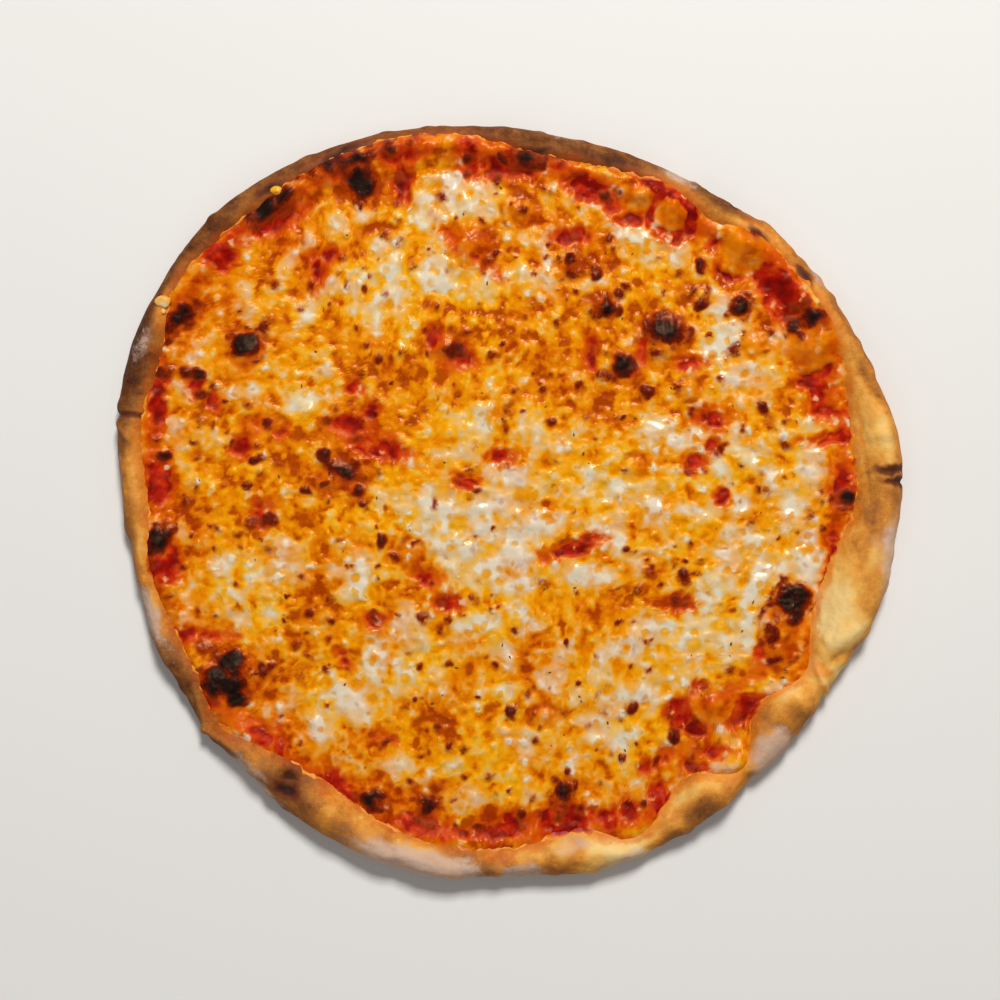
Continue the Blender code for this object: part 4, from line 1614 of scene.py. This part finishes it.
@dataclass
class Sheet:
    """A closed layer of toppings: a square grid drawn out to a round outline, and closed below."""

    outline: Outline
    side: int
    skirt: float  # how far the edge is turned down and in
    grain: Grain
    sunk: float = 0.6 * MM
    underside_shares: tuple[float, ...] = (0.97, 0.93, 0.88, 0.8, 0.66, 0.35)
    top: Array = field(init=False)

    def disc(self) -> tuple[Array, Array]:
        """A square grid mapped to the unit disc so that its cells keep their area.

        Each point goes to the circle through its nearest side, at an angle in proportion to its place
        along that side.

        Returns:
            Radius of 0 to 1 and direction of each point.
        """
        row, column = np.meshgrid(*(np.linspace(-1, 1, self.side),) * 2, indexing="ij")
        wide = np.abs(column) > np.abs(row)
        radius = np.where(wide, column, row)
        safe = np.where(radius == 0, 1, radius)
        angle = np.where(wide, 0.25 * np.pi * row / safe, 0.5 * np.pi - 0.25 * np.pi * column / safe)
        angle = np.where(radius < 0, angle + np.pi, angle)
        return np.abs(radius).ravel(), (angle % TURN).ravel()

    def border(self) -> Array:
        """Indices of the grid's outer points, anticlockwise."""
        index = np.arange(self.side**2).reshape(self.side, self.side)
        return np.concatenate((index[0, :-1], index[:-1, -1], index[-1, :0:-1], index[:0:-1, 0]))

    def rim(self, angle: Array) -> Array:
        """Radius of the sheet's edge."""
        raise NotImplementedError

    def spread(self) -> tuple[Array, Array]:
        """The grid drawn out to the sheet's edge.

        Returns:
            Direction and radius of its points.
        """
        share, angle = self.disc()
        mean = float(self.outline.cheese.mean())
        return angle, share * mean + (self.rim(angle) - mean) * share**3

    def closed(
        self, name: str, top: Array, paint: dict[str, Array], material: bpy.types.Material
    ) -> bpy.types.Object:
        """Close the sheet below, with rings that follow the dough in from the turned-down edge.

        Args:
            name: the piece's name.
            top: points of the upper side.
            paint: what is painted on them.
            material: the finish.

        Returns:
            The finished piece.
        """
        self.top = top
        border = self.border()
        outer = top[border]
        angle = np.arctan2(outer[:, 1], outer[:, 0])
        edge = np.hypot(outer[:, 0], outer[:, 1])
        turned = np.column_stack((outer[:, :2] * (1 - self.skirt / edge)[:, None], outer[:, 2] - self.skirt))
        rings = [turned]
        for share in self.underside_shares:
            radius = edge * share
            height = self.outline.dough_height(angle, radius) - self.sunk
            rings.append(polar(angle, radius, height))
        middle = np.array([[0, 0, self.outline.floor - self.sunk]])
        grid = np.arange(self.side**2).reshape(self.side, self.side)
        quads = np.column_stack(
            (grid[:-1, :-1].ravel(), grid[:-1, 1:].ravel(), grid[1:, 1:].ravel(), grid[1:, :-1].ravel())
        )
        below = len(top) + np.arange(len(border))
        wall = np.column_stack((below, np.roll(below, -1), np.roll(border, -1), border))
        under = wrapped_bands(len(rings), len(border), len(top))[:, ::-1]
        innermost = below + (len(rings) - 1) * len(border)
        last = len(top) + len(rings) * len(border)
        faces = [quads, wall, under, fan(innermost[::-1], last)]
        points = np.vstack((top, *rings, middle))
        hidden = len(points) - len(top) - len(border)
        paint = {
            label: np.concatenate((values, values[border], np.full(hidden, values.mean())))
            for label, values in paint.items()
        }
        return Surface(name, points, faces, paint).build(material)


@dataclass
class Sauce(Sheet):
    """The tomato sauce: it shows round the edge, and in lumps that come up through the cheese."""

    side: int = 280
    skirt: float = 0.8 * MM
    depth: float = 1.6 * MM
    film: float = 0.35 * MM
    taper: float = 3.5 * MM
    grain: Grain = field(default_factory=lambda: Grain(41))

    def rim(self, angle: Array) -> Array:
        """Radius of the sauce's edge, a little ragged."""
        ragged = 1.9 * self.grain.fractal(polar(angle, EDGE_RING, 0.0), 5.0, 3) - 0.2
        return self.outline.around(angle, self.outline.sauce) + ragged * MM

    def height(self, angle: Array, radius: Array) -> Array:
        """Height of the sauce's upper side, which comes up out of the dough at its edge and has lumps.

        Args:
            angle: directions of the points.
            radius: distances of the points from the origin.

        Returns:
            Height at each point.
        """
        flat = polar(angle, radius, 0.0) / MM
        thin = np.clip((self.rim(angle) - radius) / self.taper, 0, 1)
        lumps = 0.35 * self.grain.fractal(flat, 3.4, 3) * MM * thin
        return self.outline.dough_height(angle, radius) + self.depth * thin + lumps - self.film

    def build(self, material: bpy.types.Material) -> bpy.types.Object:
        """Make the sauce.

        Args:
            material: its finish.

        Returns:
            The finished piece.
        """
        angle, radius = self.spread()
        flat = polar(angle, radius, 0.0) / MM
        layout = flat[:, :2] + LAYOUT_MIDDLE
        tomato = inside_any(TOMATO, layout) + 0.8 * self.grain.fractal(flat, 4.0, 2)
        char = inside_any(CHARRED, layout)
        near = 1 - ease(self.rim(angle) - radius, 0.0, 3.0 * MM)
        tone = 0.6 + 0.6 * self.grain.fractal(flat + 50, 10.0, 3) - 0.5 * ease(tomato, -3.0, 1.0) + 0.5 * near
        paint = {"tone": tone, "burn": ease(char, -1.5, 1.0)}
        top = polar(angle, radius, self.height(angle, radius))
        return self.closed("tomato_sauce_layer", top, paint, material)


@dataclass
class Cheese(Sheet):
    """The melted cheese, thinning out towards its ragged edge."""

    sauce: Sauce = field(kw_only=True)
    toppings: Toppings = Toppings()
    side: int = 297
    skirt: float = 1.2 * MM
    depth: float = 2.4 * MM
    film: float = 0.7 * MM
    taper: float = 7.0 * MM
    grain: Grain = field(default_factory=lambda: Grain(51))

    def rim(self, angle: Array) -> Array:
        """Radius of the cheese's ragged edge.

        Args:
            angle: directions.

        Returns:
            Radius in each direction.
        """
        edge = self.outline.around(angle, self.outline.cheese)
        sauce = self.outline.around(angle, self.outline.sauce)
        ring = polar(angle, EDGE_RING, 0.0)
        ragged = 2.0 * self.grain.fractal(ring, 7.0, 3) + 0.8 * self.grain.fractal(ring + 9, 2.6, 2) + 0.9
        return np.minimum(blend(0.6, edge, sauce) + ragged * MM, sauce - 0.3 * MM)

    def build(self, material: bpy.types.Material) -> bpy.types.Object:
        """Make the cheese.

        Args:
            material: its finish.

        Returns:
            The finished piece.
        """
        angle, radius = self.spread()
        flat = polar(angle, radius, 0.0) / MM
        paint = self.toppings.paint(flat)
        relief = self.toppings.relief(flat, paint)
        del paint["curdle"]
        inside = np.clip((self.rim(angle) - radius) / self.taper, 0, 1)
        body = ease(inside) * (self.depth + relief * MM) + self.film * (np.clip(inside * 5, 0, 1) - 0.5)
        top = polar(angle, radius, self.sauce.height(angle, radius) + body)
        return self.closed("melted_cheese_layer", top, paint, material)


@dataclass
class Herbs:
    """Dried herb: small bent flakes strewn over the cheese."""

    cheese: Cheese
    seed: int = 61
    count: int = 80
    reach: float = 126 * MM
    least_size: float = 0.3  # half a flake's length, in millimetres as all the next ones
    most_size: float = 0.8
    thickness: float = 0.22
    lift: float = 0.16

    def build(self, material: bpy.types.Material) -> bpy.types.Object:
        """Make the flakes: each is a bent six-sided plate with a thickness.

        Args:
            material: its finish.

        Returns:
            The finished piece.
        """
        source = np.random.default_rng(self.seed)
        near = self.cheese.top[np.hypot(*self.cheese.top[:, :2].T) < self.reach]
        spots = near[source.choice(len(near), self.count, replace=False)] / MM
        flakes = []
        corners = np.arange(6) * TURN / 6
        for spot in spots:
            size = source.uniform(self.least_size, self.most_size)
            turn = source.uniform(0, TURN)
            ring = np.column_stack((np.cos(corners), 0.5 * np.sin(corners), 0.25 * np.cos(corners) ** 2))
            ring *= size * source.uniform(0.7, 1.3, (6, 1))
            flat = ring[:, :2] @ np.array([[np.cos(turn), np.sin(turn)], [-np.sin(turn), np.cos(turn)]])
            upper = np.column_stack((flat, ring[:, 2] + self.lift)) + spot
            points = np.vstack((upper, upper - (0, 0, self.thickness), upper.mean(0) + (0, 0, 0.05)))
            top = fan(np.arange(6), 12)
            walls = wrapped_bands(2, 6)[:, ::-1]
            bottom = np.arange(6, 12)[::-1].reshape(1, 6)
            flakes.append(Surface("flake", points * MM, [top, walls, bottom]))
        return joined("dried_herb_flakes", flakes).build(material)


@dataclass
class Crumbs:
    """Bits of cheese that lie on the rim: small lumpy balls sunk into the dough."""

    crust: Crust
    # Each bit's direction in degrees, distance from the middle and width in millimetres.
    bits: tuple[tuple[float, float, float], ...] = (
        (150.0, 157.0, 6.0),
        (149.2, 154.5, 3.4),
        (151.4, 155.2, 2.6),
        (127.0, 153.0, 4.6),
        (125.6, 151.5, 2.4),
    )
    half_sizes: tuple[float, float, float] = (0.5, 0.42, 0.22)  # as shares of a bit's width
    ball_rings: int = 9
    ball_columns: int = 16
    foot_height: float = 2.0  # the dough's underside, below this height in millimetres, bears no crumbs
    grain: Grain = field(default_factory=lambda: Grain(71))

    def build(self, material: bpy.types.Material) -> bpy.types.Object:
        """Make the bits.

        Args:
            material: their finish.

        Returns:
            The finished piece.
        """
        rings, columns = self.ball_rings, self.ball_columns
        tilt = np.linspace(0, np.pi, rings + 2)[1:-1][::-1]
        turn = np.arange(columns) * TURN / columns
        level = np.sin(tilt)[:, None]
        parts = np.broadcast_arrays(level * np.cos(turn), level * np.sin(turn), np.cos(tilt)[:, None])
        ball = np.vstack((np.stack(parts, axis=-1).reshape(-1, 3), (0, 0, -1), (0, 0, 1)))
        lower = fan(np.arange(columns)[::-1], rings * columns)
        upper = fan(np.arange((rings - 1) * columns, rings * columns), rings * columns + 1)
        faces = [wrapped_bands(rings, columns), lower, upper]
        top = self.crust.points / MM
        made = []
        for angle, radius, width in self.bits:
            angle = np.radians(angle)
            away = np.hypot(top[:, 0] - radius * np.cos(angle), top[:, 1] - radius * np.sin(angle))
            ground = top[np.where(top[:, 2] < self.foot_height, np.inf, away).argmin()]
            lumps = 1 + 0.35 * self.grain.fractal(ball + ground, 0.9, 2)
            points = ball * lumps[:, None] * (np.array(self.half_sizes) * width) + ground
            made.append(Surface("bit", points * MM, faces, self.paint(len(points))))
        return joined("cheese_crumbs", made).build(material)

    @staticmethod
    def paint(count: int) -> dict[str, Array]:
        """Plain golden cheese, for the cheese finish."""
        values = {"milk": 0.66, "tomato": -2.0, "burn": 0.0, "rosy": 0.1, "smooth": 0.5}
        return {label: np.full(count, value) for label, value in values.items()}


# --- Stage ------------------------------------------------------------------------------------------


class Tone(Enum):
    """Colours of the lights."""

    DAY = (1.0, 0.985, 0.96)
    SKY = (0.93, 0.96, 1.0)


@dataclass(frozen=True)
class Lamp:
    """A soft rectangular light that faces the pizza."""

    name: str
    azimuth: float
    elevation: float
    distance: float
    size: float
    power: float
    tone: Tone

    def place(self) -> None:
        """Put the light in the scene."""
        azimuth = np.radians(self.azimuth)
        elevation = np.radians(self.elevation)
        light = bpy.data.lights.new(self.name, "AREA")
        light.size = self.size
        light.energy = self.power
        light.color = self.tone.value
        lamp = bpy.data.objects.new(self.name, light)
        level = self.distance * np.cos(elevation)
        lamp.location = polar(azimuth, level, self.distance * np.sin(elevation))[0]
        lamp.rotation_euler = (0, 0.5 * np.pi - elevation, azimuth)
        bpy.context.scene.collection.objects.link(lamp)


@dataclass(frozen=True)
class Stage:
    """Floor, lights and camera."""

    floor_side: float = 6.0
    frame_width: float = 0.396
    focal_length: float = 70.0
    sensor: float = 36.0
    aim: tuple[float, float] = (-3.85 * MM, 0.5 * MM)
    belly: float = 5.0 * MM  # height at which the frame's width is measured
    ambient: float = 0.2
    lamps: tuple[Lamp, ...] = (
        Lamp("key_light", 80, 52, 2.0, 0.47, 38.4, Tone.DAY),
        Lamp("fill_light", 250, 40, 1.8, 1.2, 3.0, Tone.SKY),
    )

    def add_floor(self) -> None:
        """Lay the floor."""
        half = 0.5 * self.floor_side
        points = np.array([[-half, -half, 0], [half, -half, 0], [half, half, 0], [-half, half, 0]])
        Surface("floor", points, [np.array([[0, 1, 2, 3]])]).build(FloorFinish().build())

    def add_camera(self) -> None:
        """Hang the camera straight above the pizza."""
        lens = bpy.data.cameras.new("camera")
        lens.lens = self.focal_length
        lens.sensor_width = self.sensor
        camera = bpy.data.objects.new("camera", lens)
        camera.location = (*self.aim, self.belly + self.frame_width * self.focal_length / self.sensor)
        bpy.context.scene.collection.objects.link(camera)
        bpy.context.scene.camera = camera

    def build(self) -> None:
        """Set the whole stage."""
        self.add_floor()
        self.add_camera()
        for lamp in self.lamps:
            lamp.place()
        world = bpy.data.worlds.new("soft_room")
        world.use_nodes = True
        background = world.node_tree.nodes["Background"]
        background.inputs["Color"].default_value = (1, 1, 1, 1)
        background.inputs["Strength"].default_value = self.ambient
        world.cycles_visibility.glossy = False
        bpy.context.scene.world = world
        bpy.context.scene.view_settings.view_transform = "Standard"


def attach(piece: bpy.types.Object, slot: str, *replaced: str) -> None:
    """Tie a piece to the frame and report it.

    Args:
        piece: a finished piece.
        slot: not used.
        replaced: CAD solids that it stands for.
    """
    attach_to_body(piece, "root")
    if replaced:
        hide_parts(*replaced)
    log.info("%s: %d points, %d faces", piece.name, len(piece.data.vertices), len(piece.data.polygons))


def main() -> None:
    """Build the looks around the frame."""
    logging.basicConfig(level=logging.INFO, format="%(name)s %(message)s")
    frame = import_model()
    outline = Outline.measure(frame["nodes"])
    sauce = Sauce(outline)
    cheese = Cheese(outline, sauce=sauce)
    crust = Crust(outline)
    attach(crust.build(DoughFinish().build()), "crust", "crust")
    attach(sauce.build(SauceFinish().build()), "sauce", "tomato_sauce")
    melted = CheeseFinish().build()
    attach(cheese.build(melted), "cheese", "melted_cheese")
    attach(Crumbs(crust).build(melted), "cheese")
    attach(Herbs(cheese).build(HerbFinish().build()), "cheese")
    Stage().build()


if __name__ == "__main__":
    main()
